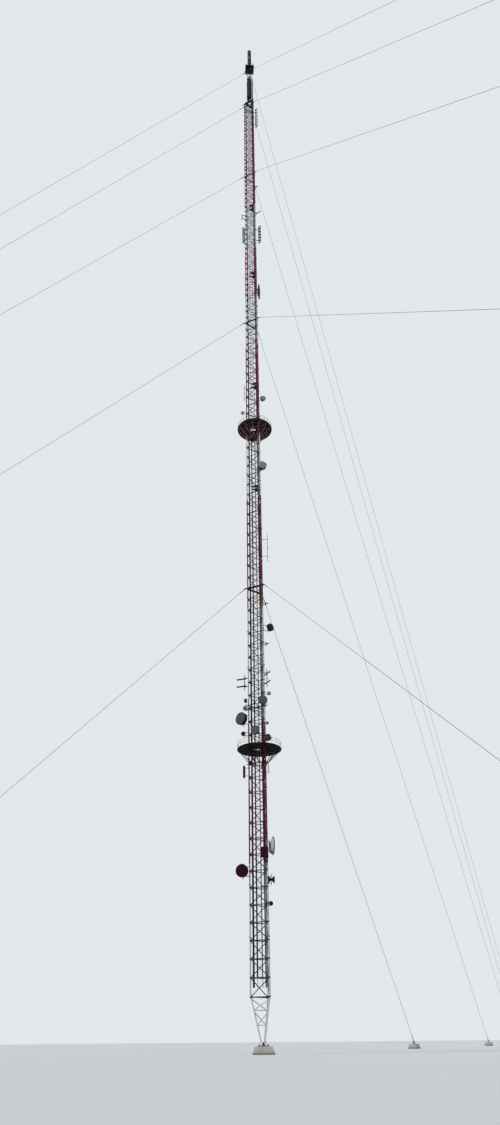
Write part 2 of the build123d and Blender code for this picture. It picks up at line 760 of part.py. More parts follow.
def build_antennas():
    """Drums, dishes, panels and dipoles on the column and the slim lattice."""
    save("drums_low", *[drum_antenna(*row) for row in low_drums])
    save("drums_platform", side_drum(*rail_drum), *[drum_antenna(*row) for row in platform_drums])
    save("drums_high", *[drum_antenna(*row) for row in high_drums])
    save("dish_antennas", twin_horn(*horn_pair), *[dish_antenna(*row) for row in open_dishes],
         *[domed_dish(*row) for row in domed_dishes])
    save("panel_antennas", *[panel_antenna(*row) for row in flat_panels])
    save("panel_array", *array_panels())
    save("dipoles_low", *[dipole_stack(*row) for row in lower_dipoles])
    save("dipoles_high", *[dipole_stack(*row) for row in upper_dipoles])


os.makedirs("parts", exist_ok=True)
build_plinth()
build_spire()
build_column()
build_neck()
build_slim_lattice()
for guy_level in range(len(guy_heights)):
    build_collar(guy_level)
    build_ropes(guy_level)
build_anchors()
build_platform(1)
build_platform(2)
build_rest_floors()
build_top()
build_services()
build_mount_ring()
build_antennas()
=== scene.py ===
from math import cos, pi, radians, sin, sqrt

import bpy
from mathutils import Matrix, Vector


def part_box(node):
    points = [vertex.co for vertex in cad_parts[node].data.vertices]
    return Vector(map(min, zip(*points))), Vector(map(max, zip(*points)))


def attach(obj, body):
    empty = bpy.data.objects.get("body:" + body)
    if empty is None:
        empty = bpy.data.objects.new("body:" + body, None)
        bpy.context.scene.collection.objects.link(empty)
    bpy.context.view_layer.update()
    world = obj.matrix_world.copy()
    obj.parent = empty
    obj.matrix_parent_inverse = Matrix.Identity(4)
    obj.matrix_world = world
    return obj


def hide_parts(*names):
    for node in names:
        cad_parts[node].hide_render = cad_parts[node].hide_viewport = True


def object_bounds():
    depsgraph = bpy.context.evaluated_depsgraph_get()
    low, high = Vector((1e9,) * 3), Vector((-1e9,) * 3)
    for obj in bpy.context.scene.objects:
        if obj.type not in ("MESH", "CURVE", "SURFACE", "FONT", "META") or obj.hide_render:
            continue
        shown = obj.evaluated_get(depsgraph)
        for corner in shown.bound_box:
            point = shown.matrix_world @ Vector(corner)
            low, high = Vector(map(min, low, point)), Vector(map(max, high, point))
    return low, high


bl_info = {
    "name": "Guyed lattice radio mast",
    "version": (1, 0, 0),
    "blender": (4, 5, 0),
    "location": "3D View > Sidebar > Radio mast",
    "description": "Dresses the radio mast's frame with its tubes, ropes, platforms and antennas",
    "category": "Add Mesh",
}

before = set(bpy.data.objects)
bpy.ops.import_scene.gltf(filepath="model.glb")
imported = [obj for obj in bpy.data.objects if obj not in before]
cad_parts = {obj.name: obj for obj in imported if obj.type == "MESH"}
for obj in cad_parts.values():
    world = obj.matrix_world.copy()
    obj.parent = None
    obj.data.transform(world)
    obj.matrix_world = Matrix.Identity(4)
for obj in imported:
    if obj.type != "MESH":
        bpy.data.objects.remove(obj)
CAD_LOW, CAD_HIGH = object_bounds()


def box_of(node):
    """Lowest and highest corner of a node of the frame."""
    low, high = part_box(node)
    return Vector(low), Vector(high)


BODY = "root"
MM = 0.001
LEGS = {"left": 180.0, "front": -60.0, "back": 60.0}
FACES = {"front_left": -120.0, "right": 0.0, "back_left": 120.0}
CORNERS = ((1, 1), (-1, 1), (-1, -1), (1, -1))
MIDDLES = ((0, 1), (0, -1), (1, 0), (-1, 0))
LEG_LOW, LEG_HIGH = box_of("leg_left")
LEG_CIRCLE = -(LEG_LOW.x + LEG_HIGH.x) / 2
LEG_RADIUS = (LEG_HIGH.x - LEG_LOW.x) / 2
CLAMP_WIDTH = LEG_RADIUS * 2 + 0.004
FACE_DISTANCE = LEG_CIRCLE / 2
FACE_WIDTH = LEG_CIRCLE * sqrt(3)
BAR_WIDTH = 0.011
SECTION_BAYS = (28, 30, 30, 23)
UPPER_SECTION = 3
SLIM_WIDTH = 0.130
SLIM_CIRCLE = SLIM_WIDTH / sqrt(3)
SLIM_BAYS = 16
ARRAY_TIERS = 8
GUY_LEVELS = 5
BRACE_HALF = 0.0045
BEAM_HALF = 0.005
LADDER_TIE_BAYS = 9
PLATFORM_RADIUS = 0.395
RAIL_TUBE = 0.005
FINE_ANGLE = 50.0


def sections():
    """Number, foot, bay height and bay count of each section of the column."""
    for number, bays in enumerate(SECTION_BAYS, 1):
        low, high = box_of(f"lattice_right_{number}")
        yield number, low.z + BAR_WIDTH / 2, (high.z - low.z) / bays, bays


SECTIONS = list(sections())
LEVELS = [foot + step * bay for _, foot, bay, bays in SECTIONS for step in range(bays)]


# Settings

def whole_number(name, description, default, lowest=1):
    """Setting for a number of things."""
    return bpy.props.IntProperty(name=name, description=description, default=default, min=lowest)


def length(name, description, default):
    """Setting for a length."""
    return bpy.props.FloatProperty(name=name, description=description, default=default,
                                   unit="LENGTH")


def tint(name, description, *default):
    """Setting for a colour."""
    return bpy.props.FloatVectorProperty(name=name, description=description, size=4,
                                         subtype="COLOR", default=default, min=0.0, max=1.0)


class MastSizes(bpy.types.PropertyGroup):
    """Sizes of the pieces that dress the mast."""
    leg_sides: whole_number("Leg sides", "Sides of each round leg", 20, 8)
    flange_spacing: whole_number("Bays per leg length", "Bays between two leg joints", 3)
    flange_width: length("Flange width", "How far a leg flange stands out", 0.0090)
    flange_lift: length("Flange lift", "Height of a leg joint above its bay", 0.045)
    band_height: length("Band height", "Height of the bands round the legs", 0.018)
    band_width: length("Band width", "How much wider than its leg a band is", 0.003)
    brace_diameter: length("Brace tube", "Diameter of the braces of the lattice", 0.0138)
    upper_brace_diameter: length("Upper brace tube", "Diameter of the upper braces", 0.0112)
    brace_end: length("Brace end", "Gap between a leg and the round part of a brace", 0.014)
    gusset_width: length("Gusset width", "Width of the plates that hold the braces", 0.024)
    gusset_height: length("Gusset height", "Height of the plates that hold the braces", 0.030)
    rung_pitch: length("Rung pitch", "Height between two rungs", 0.030)
    ladder_width: length("Ladder width", "Width between the ladder's two rails", 0.086)
    cable_count: whole_number("Feeders", "Cables side by side in a bundle", 5)
    rope_diameter: length("Guy rope", "Diameter of a guy rope", 0.0074)
    floor_size: length("Floor", "Side of the pale floor", 400.0)


class MastColours(bpy.types.PropertyGroup):
    """Colours of the mast's finishes."""
    leg_white: tint("White legs", "Weathered white paint of the legs", 0.60, 0.56, 0.53, 1.0)
    leg_red: tint("Red legs", "Red paint of the legs", 0.150, 0.0015, 0.030, 1.0)
    band_white: tint("Leg bands", "Grimy paint of the bands", 0.022, 0.022, 0.020, 1.0)
    # The white of the braces is near black: painted shade, standing for thin white tubes seen dark
    # against the bright sky.
    brace_white_painted_shade: tint("White braces", "Weathered white of the braces", 0.024, 0.026, 0.024, 1.0)
    brace_red: tint("Red braces", "Dark red of the braces", 0.095, 0.0012, 0.026, 1.0)
    background: tint("Backdrop", "Plain pale backdrop", 0.76, 0.80, 0.84, 1.0)


def sizes():
    """The size settings of the scene."""
    return bpy.context.scene.mast_sizes


def colours():
    """The colour settings of the scene."""
    return bpy.context.scene.mast_colours


def joint_levels():
    """Bay levels with a leg joint and inner ties."""
    return LEVELS[::sizes().flange_spacing][1:]


# Places

def polar(radius, azimuth, z=0.0):
    """Point at a radius and azimuth in degrees round the mast's axis."""
    return Vector((radius * cos(radians(azimuth)), radius * sin(radians(azimuth)), z))


def turned(azimuth):
    """Matrix that turns a mesh about the mast's axis."""
    return Matrix.Rotation(radians(azimuth), 4, "Z")


def upright(height):
    """Step straight up in millimetres."""
    return Vector((0.0, 0.0, height * MM))


# Modelling by operators

def pick(*pieces):
    """Leave edit mode and select only the pieces; the first becomes active."""
    if bpy.context.object and bpy.context.object.mode != "OBJECT":
        bpy.ops.object.mode_set(mode="OBJECT")
    bpy.ops.object.select_all(action="DESELECT")
    for piece in reversed(pieces):
        piece.select_set(True)
        bpy.context.view_layer.objects.active = piece


def settle(piece, name=None):
    """Put a piece's place into its mesh, and name it."""
    pick(piece)
    bpy.ops.object.transform_apply(location=True, rotation=True, scale=True)
    if name:
        piece.name = name
        piece.data.name = name
    return piece


def tube(start, end, diameter, sides=10, end_diameter=None):
    """Round tube or cone between two points."""
    start = Vector(start)
    end = Vector(end)
    run = end - start
    pick()
    place = {"vertices": sides, "depth": run.length, "location": (start + end) / 2,
             "rotation": run.to_track_quat("Z", "Y").to_euler()}
    if end_diameter is None:
        bpy.ops.mesh.primitive_cylinder_add(radius=diameter / 2, **place)
    else:
        bpy.ops.mesh.primitive_cone_add(radius1=diameter / 2, radius2=end_diameter / 2, **place)
    return bpy.context.object


def pillar(spot, low, high, diameter, sides=20):
    """Upright tube over a spot, between two heights."""
    return tube((spot[0], spot[1], low), (spot[0], spot[1], high), diameter, sides)


def block(centre, size, azimuth=0.0):
    """Box of a size at a centre, turned about the upright."""
    pick()
    bpy.ops.mesh.primitive_cube_add(size=1.0, location=centre,
                                    rotation=(0.0, 0.0, radians(azimuth)))
    piece = bpy.context.object
    piece.scale = size
    return piece


def hoop(radius, place, diameter, segments, sides, rotation=(0.0, 0.0, 0.0)):
    """Ring of round tube."""
    pick()
    bpy.ops.mesh.primitive_torus_add(major_segments=segments, minor_segments=sides,
                                     major_radius=radius, minor_radius=diameter / 2,
                                     location=place, rotation=rotation)
    return bpy.context.object


def chain(points, diameter, sides):
    """Closed run of tubes through points."""
    return [tube(start, end, diameter, sides)
            for start, end in zip(points, points[1:] + points[:1])]


def leg_clamp(spot, level, half=0.004):
    """Band clamped round a leg at a level."""
    return pillar(spot, level - half, level + half, CLAMP_WIDTH)


def join(name, pieces):
    """Join several pieces into one, with its place in its mesh."""
    pick(*pieces)
    if len(pieces) > 1:
        bpy.ops.object.join()
    return settle(bpy.context.object, name)


def copied(piece, name, matrix=None):
    """Copy of a piece with its own mesh, taken to another place."""
    mesh = piece.data.copy()
    mesh.name = name
    twin = bpy.data.objects.new(name, mesh)
    bpy.context.scene.collection.objects.link(twin)
    if matrix is not None:
        mesh.transform(matrix)
    return twin


def stacked(piece, levels, out=0.0):
    """Copies of a piece at several heights; the first is dropped."""
    twins = [copied(piece, "twin", Matrix.Translation((out, 0, level))) for level in levels]
    bpy.data.objects.remove(piece)
    return twins


def spun(piece, name, azimuths):
    """One piece that holds a copy of a piece turned to each azimuth; the first is dropped."""
    twins = [copied(piece, name, turned(azimuth)) for azimuth in azimuths]
    bpy.data.objects.remove(piece)
    return join(name, twins)


def repeated(piece, count, step):
    """Repeat a piece along a step with an applied array."""
    pick(piece)
    array = piece.modifiers.new("Repeat", "ARRAY")
    array.count = count
    array.use_relative_offset = False
    array.use_constant_offset = True
    array.constant_offset_displace = step
    bpy.ops.object.modifier_apply(modifier=array.name)
    return piece


def bevelled(piece, width, segments=1):
    """Round a piece's sharp edges with an applied bevel."""
    settle(piece)
    bevel = piece.modifiers.new("Edges", "BEVEL")
    bevel.width = width
    bevel.segments = segments
    bevel.limit_method = "ANGLE"
    bevel.angle_limit = radians(35)
    bpy.ops.object.modifier_apply(modifier=bevel.name)
    return piece


def lathe(profile, sides, scale=1.0, size=1.0, start=0.0):
    """Round closed piece about +X through pairs of depth and radius, scaled from a start."""
    pairs = [(start + x * scale, radius * size) for x, radius in profile]
    pick()
    depth, radius = pairs[0]
    bpy.ops.mesh.primitive_circle_add(vertices=sides, radius=radius, fill_type="NGON",
                                      location=(depth, 0.0, 0.0), rotation=(0.0, pi / 2, 0.0))
    piece = settle(bpy.context.object)
    bpy.ops.object.mode_set(mode="EDIT")
    bpy.ops.mesh.select_all(action="SELECT")
    for (near, before), (far, after) in zip(pairs, pairs[1:]):
        bpy.ops.mesh.extrude_region_move(TRANSFORM_OT_translate={"value": (far - near, 0.0, 0.0)})
        share = after / before
        bpy.ops.transform.resize(value=(1.0, share, share), center_override=(far, 0.0, 0.0))
    bpy.ops.mesh.select_all(action="SELECT")
    bpy.ops.mesh.normals_make_consistent(inside=False)
    bpy.ops.object.mode_set(mode="OBJECT")
    return piece


def from_node(node, name, width, segments=1):
    """Merged copy of a node of the frame, with its edges rounded."""
    piece = copied(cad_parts[node], name)
    piece.data.materials.clear()
    pick(piece)
    bpy.ops.object.mode_set(mode="EDIT")
    bpy.ops.mesh.select_all(action="SELECT")
    bpy.ops.mesh.remove_doubles(threshold=0.00002)
    bpy.ops.mesh.dissolve_limited(angle_limit=radians(1.0))
    bpy.ops.object.mode_set(mode="OBJECT")
    return bevelled(piece, width, segments)


def dress(piece, finish, slot, *nodes, angle=35.0):
    """Smooth a piece, give it its finish and body, and hide the nodes it stands for."""
    if angle:
        pick(piece)
        bpy.ops.object.shade_smooth_by_angle(angle=radians(angle))
    piece.data.materials.clear()
    piece.data.materials.append(bpy.data.materials[finish])
    for face in piece.data.polygons:
        face.material_index = 0
    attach(piece, BODY)
    if nodes:
        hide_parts(*nodes)


def rounded(node, name, finish, slot, width, segments=1, angle=35.0):
    """Stand for a node with a copy of it that has rounded edges."""
    dress(from_node(node, name, width, segments), finish, slot, node, angle=angle)


# Procedural finishes

RUST = (0.16, 0.055, 0.018)
BANDS = ((0.0, "white"), (2.54, "red"), (4.88, "white"), (7.30, "ruddy"), (7.66, "red"),
         (9.99, "white"), (11.73, "red"), (13.30, "rose"), (14.70, "pale"), (16.69, "rose"),
         (18.64, "pale"), (20.61, "rose"), (25.09, "dark"))


def full(colour):
    """Colour with its fourth value."""
    return tuple(colour[:3]) + (1.0,)


class Finish:
    """Builder for the nodes of one finish."""

    def __init__(self, name, metallic=0.0, specular=0.4):
        self.material = bpy.data.materials.new(name)
        self.material.use_nodes = True
        self.tree = self.material.node_tree
        self.shader = self.tree.nodes["Principled BSDF"]
        self.shader.inputs["Metallic"].default_value = metallic
        self.shader.inputs["Specular IOR Level"].default_value = specular
        self.place = self.node("TexCoord").outputs["Object"]

    def put(self, socket, value):
        """Link or set one socket."""
        if isinstance(value, bpy.types.NodeSocket):
            self.tree.links.new(value, socket)
        else:
            socket.default_value = value

    def node(self, kind, **values):
        """New node with the values of its sockets."""
        node = self.tree.nodes.new("ShaderNode" + kind)
        for name, value in values.items():
            self.put(node.inputs[name], value)
        return node

    def stretch(self, *scale):
        """Object coordinates scaled by axis."""
        return self.node("Mapping", Vector=self.place, Scale=scale).outputs["Vector"]

    def noise(self, scale, detail=4.0, rough=0.55, vector=None):
        """Cloudy noise."""
        return self.node("TexNoise", Vector=vector or self.place, Scale=scale, Detail=detail,
                         Roughness=rough).outputs["Fac"]

    def cells(self, scale, output):
        """Cell pattern."""
        return self.node("TexVoronoi", Vector=self.place, Scale=scale).outputs[output]

    def ramp(self, factor, stops, steps="LINEAR"):
        """Colour ramp of position and colour pairs."""
        node = self.node("ValToRGB", Fac=factor)
        node.color_ramp.interpolation = steps
        marks = node.color_ramp.elements
        while len(marks) > 1:
            marks.remove(marks[-1])
        marks[0].position = stops[0][0]
        marks[0].color = full(stops[0][1])
        for position, colour in stops[1:]:
            marks.new(position).color = full(colour)
        return node.outputs["Color"]

    def mask(self, factor, start, end, top, bottom=0.0):
        """Grey that goes from one value to another between two places of a factor."""
        return self.ramp(factor, [(start, (bottom,) * 3), (end, (top,) * 3)])

    def maths(self, kind, *values):
        """One step of arithmetic."""
        node = self.node("Math")
        node.operation = kind
        for socket, value in zip(node.inputs, values):
            self.put(socket, value)
        return node.outputs[0]

    def mix(self, factor, first, second, kind="MIX"):
        """Mix of two colours."""
        node = self.node("Mix", Factor=factor)
        node.data_type = "RGBA"
        node.blend_type = kind
        sockets = [socket for socket in node.inputs if socket.type == "RGBA"]
        for socket, value in zip(sockets, (first, second)):
            self.put(socket, value if isinstance(value, bpy.types.NodeSocket) else full(value))
        return [socket for socket in node.outputs if socket.type == "RGBA"][0]

    def over(self, tone, colour, factor, start, end, share):
        """Tone with a colour over it where a factor is high."""
        return self.mix(self.mask(factor, start, end, share), tone, colour)

    def axis(self, name):
        """One coordinate of the place."""
        return self.node("SeparateXYZ", Vector=self.place).outputs[name]

    def bump(self, height, strength, distance):
        """Relief of the surface."""
        node = self.node("Bump", Height=height, Strength=strength, Distance=distance)
        self.put(self.shader.inputs["Normal"], node.outputs["Normal"])

    def done(self, colour, roughness):
        """Colour and roughness of the shader."""
        self.put(self.shader.inputs["Base Color"], colour)
        self.put(self.shader.inputs["Roughness"], roughness)


def banded_paint(name, white, red, dark, rust, streak, high=1.0):
    """Aviation bands in weathered paint, with another strength on the upper half."""
    finish = Finish(name, 0.0, 0.15)
    top = CAD_HIGH.z
    height = finish.maths("MULTIPLY_ADD", finish.noise(30.0, 2.0), 0.012, finish.axis("Z"))
    share = finish.maths("DIVIDE", height, top)
    tones = {"white": white, "red": red, "dark": dark,
             "ruddy": tuple((c + r) / 2 for c, r in zip(red, RUST)),
             "pale": tuple(c * high for c in white),
             "rose": tuple(c * high * 1.5 for c in red)}
    paint = finish.ramp(share, [(z / top, tones[tone]) for z, tone in BANDS], "CONSTANT")
    fade = finish.noise(9.0, 6.0, 0.6)
    paint = finish.over(paint, (0.28, 0.21, 0.20), fade, 0.35, 0.75, 0.09)
    streaks = finish.noise(1.0, 5.0, 0.7, finish.stretch(90.0, 90.0, 4.0))
    paint = finish.over(paint, (0.05, 0.036, 0.037), streaks, 0.45, 0.75, streak)
    spots = finish.noise(40.0, 8.0, 0.72, finish.stretch(1.0, 1.0, 0.25))
    eaten = finish.mask(spots, 0.60, 0.68, rust)
    paint = finish.mix(eaten, paint, RUST)
    finish.bump(finish.mix(eaten, fade, streaks), 0.25, 0.0006)
    finish.done(paint, finish.mask(fade, 0.3, 0.8, 0.72, 0.42))


def galvanised(name, base, rust):
    """Dull zinc with spangle, stains and a little rust."""
    finish = Finish(name, 0.35)
    cloud = finish.noise(14.0, 6.0, 0.65)
    zinc = finish.over(base, tuple(c * 0.55 for c in base), cloud, 0.35, 0.7, 1.0)
    zinc = finish.mix(0.12, zinc, finish.cells(260.0, "Color"), "OVERLAY")
    spots = finish.noise(34.0, 8.0, 0.7, finish.stretch(1.0, 1.0, 0.3))
    zinc = finish.over(zinc, RUST, spots, 0.58, 0.70, rust)
    finish.bump(cloud, 0.2, 0.0005)
    finish.done(zinc, finish.mask(cloud, 0.3, 0.7, 0.68, 0.45))


def dark_steel(name, base, rust, specular=0.12):
    """Nearly black weathered steel with rust in its hollows."""
    finish = Finish(name, 0.0, specular)
    cloud = finish.noise(8.0, 7.0, 0.65)
    tone = tuple(min(1.0, c * 2.4 + 0.003) for c in base)
    steel = finish.over(base, tone, cloud, 0.4, 0.8, 0.8)
    spots = finish.noise(26.0, 8.0, 0.7)
    steel = finish.over(steel, (0.10, 0.035, 0.015), spots, 0.55, 0.68, rust)
    finish.bump(spots, 0.3, 0.0008)
    finish.done(steel, finish.mask(cloud, 0.3, 0.7, 0.8, 0.55))


def concrete(name):
    """Cast concrete with pores, lift lines, damp and moss at the ground."""
    finish = Finish(name, 0.0, 0.25)
    cloud = finish.noise(6.0, 8.0, 0.6)
    grey = finish.ramp(cloud, [(0.3, (0.30, 0.29, 0.265)), (0.55, (0.42, 0.41, 0.38)),
                               (0.8, (0.52, 0.51, 0.48))])
    pores = finish.cells(220.0, "Distance")
    grey = finish.mix(finish.mask(pores, 0.05, 0.14, 0.0, 0.7), grey, (0.12, 0.115, 0.10))
    runs = finish.noise(1.0, 5.0, 0.7, finish.stretch(60.0, 60.0, 6.0))
    grey = finish.over(grey, (0.16, 0.15, 0.13), runs, 0.5, 0.75, 0.45)
    damp = finish.maths("SUBTRACT", 0.030, finish.axis("Z"))
    damp = finish.maths("MULTIPLY_ADD", damp, 30.0, finish.maths("MULTIPLY", cloud, 0.6))
    grey = finish.over(grey, (0.09, 0.10, 0.055), damp, 0.2, 1.0, 0.8)
    finish.bump(finish.mix(0.5, finish.noise(160.0, 8.0, 0.7), pores), 0.5, 0.0012)
    finish.done(grey, finish.mask(cloud, 0.3, 0.7, 0.93, 0.82))


def wire_rope(name):
    """Grey stranded steel rope; the lay follows the rope's own map."""
    finish = Finish(name, 0.45)
    parts = finish.node("SeparateXYZ", Vector=finish.node("UVMap").outputs["UV"])
    turn = finish.maths("MULTIPLY_ADD", parts.outputs["Y"], 1500.0,
                        finish.maths("MULTIPLY", parts.outputs["X"], 6.0))
    lay = finish.maths("PINGPONG", turn, 0.5)
    tone = finish.ramp(lay, [(0.0, (0.035, 0.036, 0.038)), (0.5, (0.17, 0.172, 0.175))])
    tone = finish.over(tone, (0.09, 0.075, 0.06), finish.noise(3.0, 5.0, 0.6), 0.4, 0.8, 0.5)
    finish.bump(lay, 0.6, 0.0008)
    finish.done(tone, 0.55)


def cable_jacket(name):
    """Black cable jackets with dust and chalking."""
    finish = Finish(name, 0.0, 0.15)
    dust = finish.noise(1.0, 5.0, 0.65, finish.stretch(40.0, 40.0, 5.0))
    tone = finish.ramp(dust, [(0.3, (0.0055, 0.0050, 0.0065)), (0.8, (0.026, 0.024, 0.027))])
    finish.bump(finish.noise(120.0, 3.0), 0.1, 0.0004)
    finish.done(tone, finish.mask(dust, 0.3, 0.7, 0.62, 0.38))


def cover(name, base, dirt, specular=0.15):
    """Painted or moulded cover with rain streaks, chalking and a fine texture."""
    finish = Finish(name, 0.0, specular)
    cloud = finish.noise(18.0, 5.0, 0.6)
    tone = finish.over(base, tuple(min(1.0, c * 1.35) for c in base), cloud, 0.35, 0.75, 0.8)
    streaks = finish.noise(1.0, 6.0, 0.7, finish.stretch(110.0, 110.0, 9.0))
    tone = finish.over(tone, dirt, streaks, 0.48, 0.72, 0.6)
    finish.bump(finish.noise(300.0, 3.0), 0.08, 0.0003)
    finish.done(tone, finish.mask(cloud, 0.3, 0.7, 0.60, 0.40))


def cylinder_bands(name):
    """Bands of the cylinder on the top, from its foot up: pale green, dark, grey, dark."""
    finish = Finish(name, 0.0, 0.08)
    low, high = box_of("top_cylinder")
    share = finish.maths("DIVIDE", finish.maths("SUBTRACT", finish.axis("Z"), low.z),
                         high.z - low.z)
    tone = finish.ramp(share, [(0.0, (0.045, 0.115, 0.080)), (0.20, (0.006, 0.005, 0.006)),
                               (0.48, (0.090, 0.086, 0.090)), (0.66, (0.006, 0.005, 0.006))],
                       "CONSTANT")
    streaks = finish.noise(1.0, 6.0, 0.7, finish.stretch(70.0, 70.0, 6.0))
    tone = finish.over(tone, (0.016, 0.014, 0.015), streaks, 0.45, 0.75, 0.4)
    finish.bump(finish.noise(200.0, 4.0), 0.1, 0.0004)
    finish.done(tone, finish.mask(streaks, 0.3, 0.7, 0.6, 0.38))


def make_finishes():
    """Make every finish once."""
    paint = colours()
    dark = (0.014, 0.008, 0.012)
    banded_paint("leg_paint", paint.leg_white, paint.leg_red, (0.045, 0.022, 0.035), 0.25, 0.40)
    # The white bands of the braces are painted shade: near black, as thin white tubes look against
    # the bright sky; the red bands are their paint.
    banded_paint("brace_paint_and_shade", paint.brace_white_painted_shade, paint.brace_red, dark, 0.35, 0.4, 1.2)
    banded_paint("trunk_paint", (0.24, 0.25, 0.22), (0.085, 0.002, 0.020), (0.024, 0.012, 0.018),
                 0.15, 0.5)
    banded_paint("leg_band_paint", paint.band_white, (0.050, 0.001, 0.014), dark, 0.8, 0.7)
    galvanised("zinc_fittings", (0.20, 0.205, 0.21), 0.35)
    galvanised("dark_zinc", (0.085, 0.087, 0.09), 0.4)
    galvanised("railing_zinc", (0.15, 0.152, 0.155), 0.3)
    dark_steel("collar_steel", (0.007, 0.006, 0.006), 0.3)
    dark_steel("deck_steel", (0.004, 0.004, 0.0045), 0.15, 0.15)
    dark_steel("upper_deck_steel", (0.009, 0.0035, 0.0045), 0.2)
    dark_steel("strut_steel", (0.007, 0.004, 0.005), 0.3)
    dark_steel("upper_strut_steel", (0.150, 0.075, 0.085), 0.3, 0.15)
    dark_steel("ladder_steel", (0.007, 0.006, 0.007), 0.25)
    dark_steel("crown_steel", (0.014, 0.006, 0.008), 0.3)
    dark_steel("antenna_tube", (0.005, 0.005, 0.006), 0.2, 0.08)
    concrete("cast_concrete")
    wire_rope("guy_rope")
    cable_jacket("cable_jacket")
    cover("drum_grey", (0.088, 0.089, 0.088), (0.032, 0.031, 0.030))
    cover("drum_pale", (0.215, 0.205, 0.188), (0.070, 0.066, 0.060))
    cover("drum_brown", (0.060, 0.055, 0.050), (0.022, 0.019, 0.018))
    cover("drum_dark", (0.0055, 0.0050, 0.0055), (0.004, 0.004, 0.004), 0.1)
    cover("drum_maroon", (0.020, 0.0018, 0.0075), (0.010, 0.0015, 0.005), 0.06)
    cover("drum_red", (0.030, 0.0025, 0.006), (0.010, 0.003, 0.004))
    cover("dome_red", (0.16, 0.035, 0.045), (0.04, 0.012, 0.015))
    cover("dish_white", (0.40, 0.42, 0.43), (0.075, 0.078, 0.075))
    cover("panel_red", (0.030, 0.0018, 0.009), (0.009, 0.002, 0.004), 0.1)
    cover("panel_green", (0.006, 0.012, 0.009), (0.005, 0.006, 0.005), 0.1)
    cover("panel_dark", (0.0045, 0.0038, 0.0045), (0.007, 0.006, 0.006), 0.08)
    cylinder_bands("cylinder_bands")


# Stage

CAMERA_DISTANCE = 13.0
CAMERA_HEIGHT = 0.16
CAMERA_AZIMUTH = -94.5
CAMERA_PITCH = 32.5
CAMERA_YAW = 0.597
CAMERA_ROLL = 0.511
FOCAL_PIXELS = 752.0
FRAME_HEIGHT = 1125.0
SENSOR = 36.0
LAMP_DISTANCE = 40.0


def place_camera():
    """Camera at the viewing angle of the picture."""
    data = bpy.data.cameras.new("camera")
    data.sensor_fit = "AUTO"
    data.sensor_width = SENSOR
    data.lens = FOCAL_PIXELS / FRAME_HEIGHT * SENSOR
    data.clip_start = 0.1
    data.clip_end = 2000.0
    camera = bpy.data.objects.new("camera", data)
    bpy.context.scene.collection.objects.link(camera)
    heading = radians(CAMERA_AZIMUTH + 180.0 + CAMERA_YAW)
    pitch = radians(CAMERA_PITCH)
    roll = radians(CAMERA_ROLL)
    forward = Vector((cos(heading) * cos(pitch), sin(heading) * cos(pitch), sin(pitch)))
    level = Vector((sin(heading), -cos(heading), 0.0))
    rise = level.cross(forward)
    right = level * cos(roll) - rise * sin(roll)
    up = rise * cos(roll) + level * sin(roll)
    turn = Matrix((right, up, -forward)).transposed()
    camera.matrix_world = Matrix.Translation(
        polar(CAMERA_DISTANCE, CAMERA_AZIMUTH, CAMERA_HEIGHT)) @ turn.to_4x4()
    bpy.context.scene.camera = camera


def lamp(name, azimuth, elevation, strength, angle, colour):
    """Soft far lamp that shines from an azimuth and elevation."""
    data = bpy.data.lights.new(name, "SUN")
    data.energy = strength
    data.angle = radians(angle)
    data.color = colour
    light = bpy.data.objects.new(name, data)
    bpy.context.scene.collection.objects.link(light)
    direction = polar(cos(radians(elevation)), azimuth, sin(radians(elevation)))
    light.rotation_mode = "QUATERNION"
    light.rotation_quaternion = direction.to_track_quat("Z", "Y")
    light.location = direction * LAMP_DISTANCE


def backdrop_world():
    """Plain pale backdrop, and the even light that it gives."""
    world = bpy.data.worlds.new("backdrop")
    world.use_nodes = True
    nodes = world.node_tree.nodes
    links = world.node_tree.links
    nodes.clear()
    rays = nodes.new("ShaderNodeLightPath")
    seen = rays.outputs["Is Camera Ray"]
    for kind in ("Glossy", "Transmission"):
        either = nodes.new("ShaderNodeMath")
        either.operation = "MAXIMUM"
        links.new(seen, either.inputs[0])
        links.new(rays.outputs[f"Is {kind} Ray"], either.inputs[1])
        seen = either.outputs[0]
    mixed = nodes.new("ShaderNodeMixShader")
    links.new(seen, mixed.inputs[0])
    for socket, colour, strength in ((1, (0.90, 0.95, 1.0, 1.0), 0.38),
                                     (2, colours().background, 1.0)):
        light = nodes.new("ShaderNodeBackground")
        light.inputs["Color"].default_value = colour
        light.inputs["Strength"].default_value = strength
        links.new(light.outputs[0], mixed.inputs[socket])
    links.new(mixed.outputs[0], nodes.new("ShaderNodeOutputWorld").inputs[0])
    bpy.context.scene.world = world


def pale_floor():
    """Plain pale floor under the mast."""
    pick()
    bpy.ops.mesh.primitive_grid_add(x_subdivisions=8, y_subdivisions=8, size=sizes().floor_size,
                                    location=(0.0, 0.0, -0.001))
    floor = settle(bpy.context.object, "floor")
    finish = Finish("pale_floor", 0.0, 0.1)
    tone = finish.ramp(finish.noise(0.2, 3.0), [(0.3, (0.60, 0.62, 0.63)),
                                                (0.7, (0.63, 0.65, 0.66))])
    finish.done(tone, 0.9)
    floor.data.materials.append(finish.material)


class MAST_OT_stage(bpy.types.Operator):
    """Camera, floor, backdrop and lamps"""
    bl_idname = "mast.stage"
    bl_label = "Stage"

    def execute(self, context):
        context.scene.view_settings.view_transform = "Standard"
        place_camera()
        backdrop_world()
        pale_floor()
        lamp("key_lamp", -150.0, 42.0, 1.9, 12.0, (1.0, 0.97, 0.93))
        lamp("fill_lamp", -20.0, 30.0, 0.5, 30.0, (0.92, 0.96, 1.0))
        lamp("back_lamp", 80.0, 50.0, 0.5, 30.0, (1.0, 1.0, 1.0))
        return {"FINISHED"}


# Column

JOINT_HALF = 0.0028
JOINT_BOLTS = 6
BOLT_HALF = 0.0052
BOLT_WIDTH = 0.0034
GUSSET_THICKNESS = 0.0024
GUSSET_BOLT_WIDTH = 0.0036
TIE_INSET = 0.004
TIE_WIDTH = 0.0045


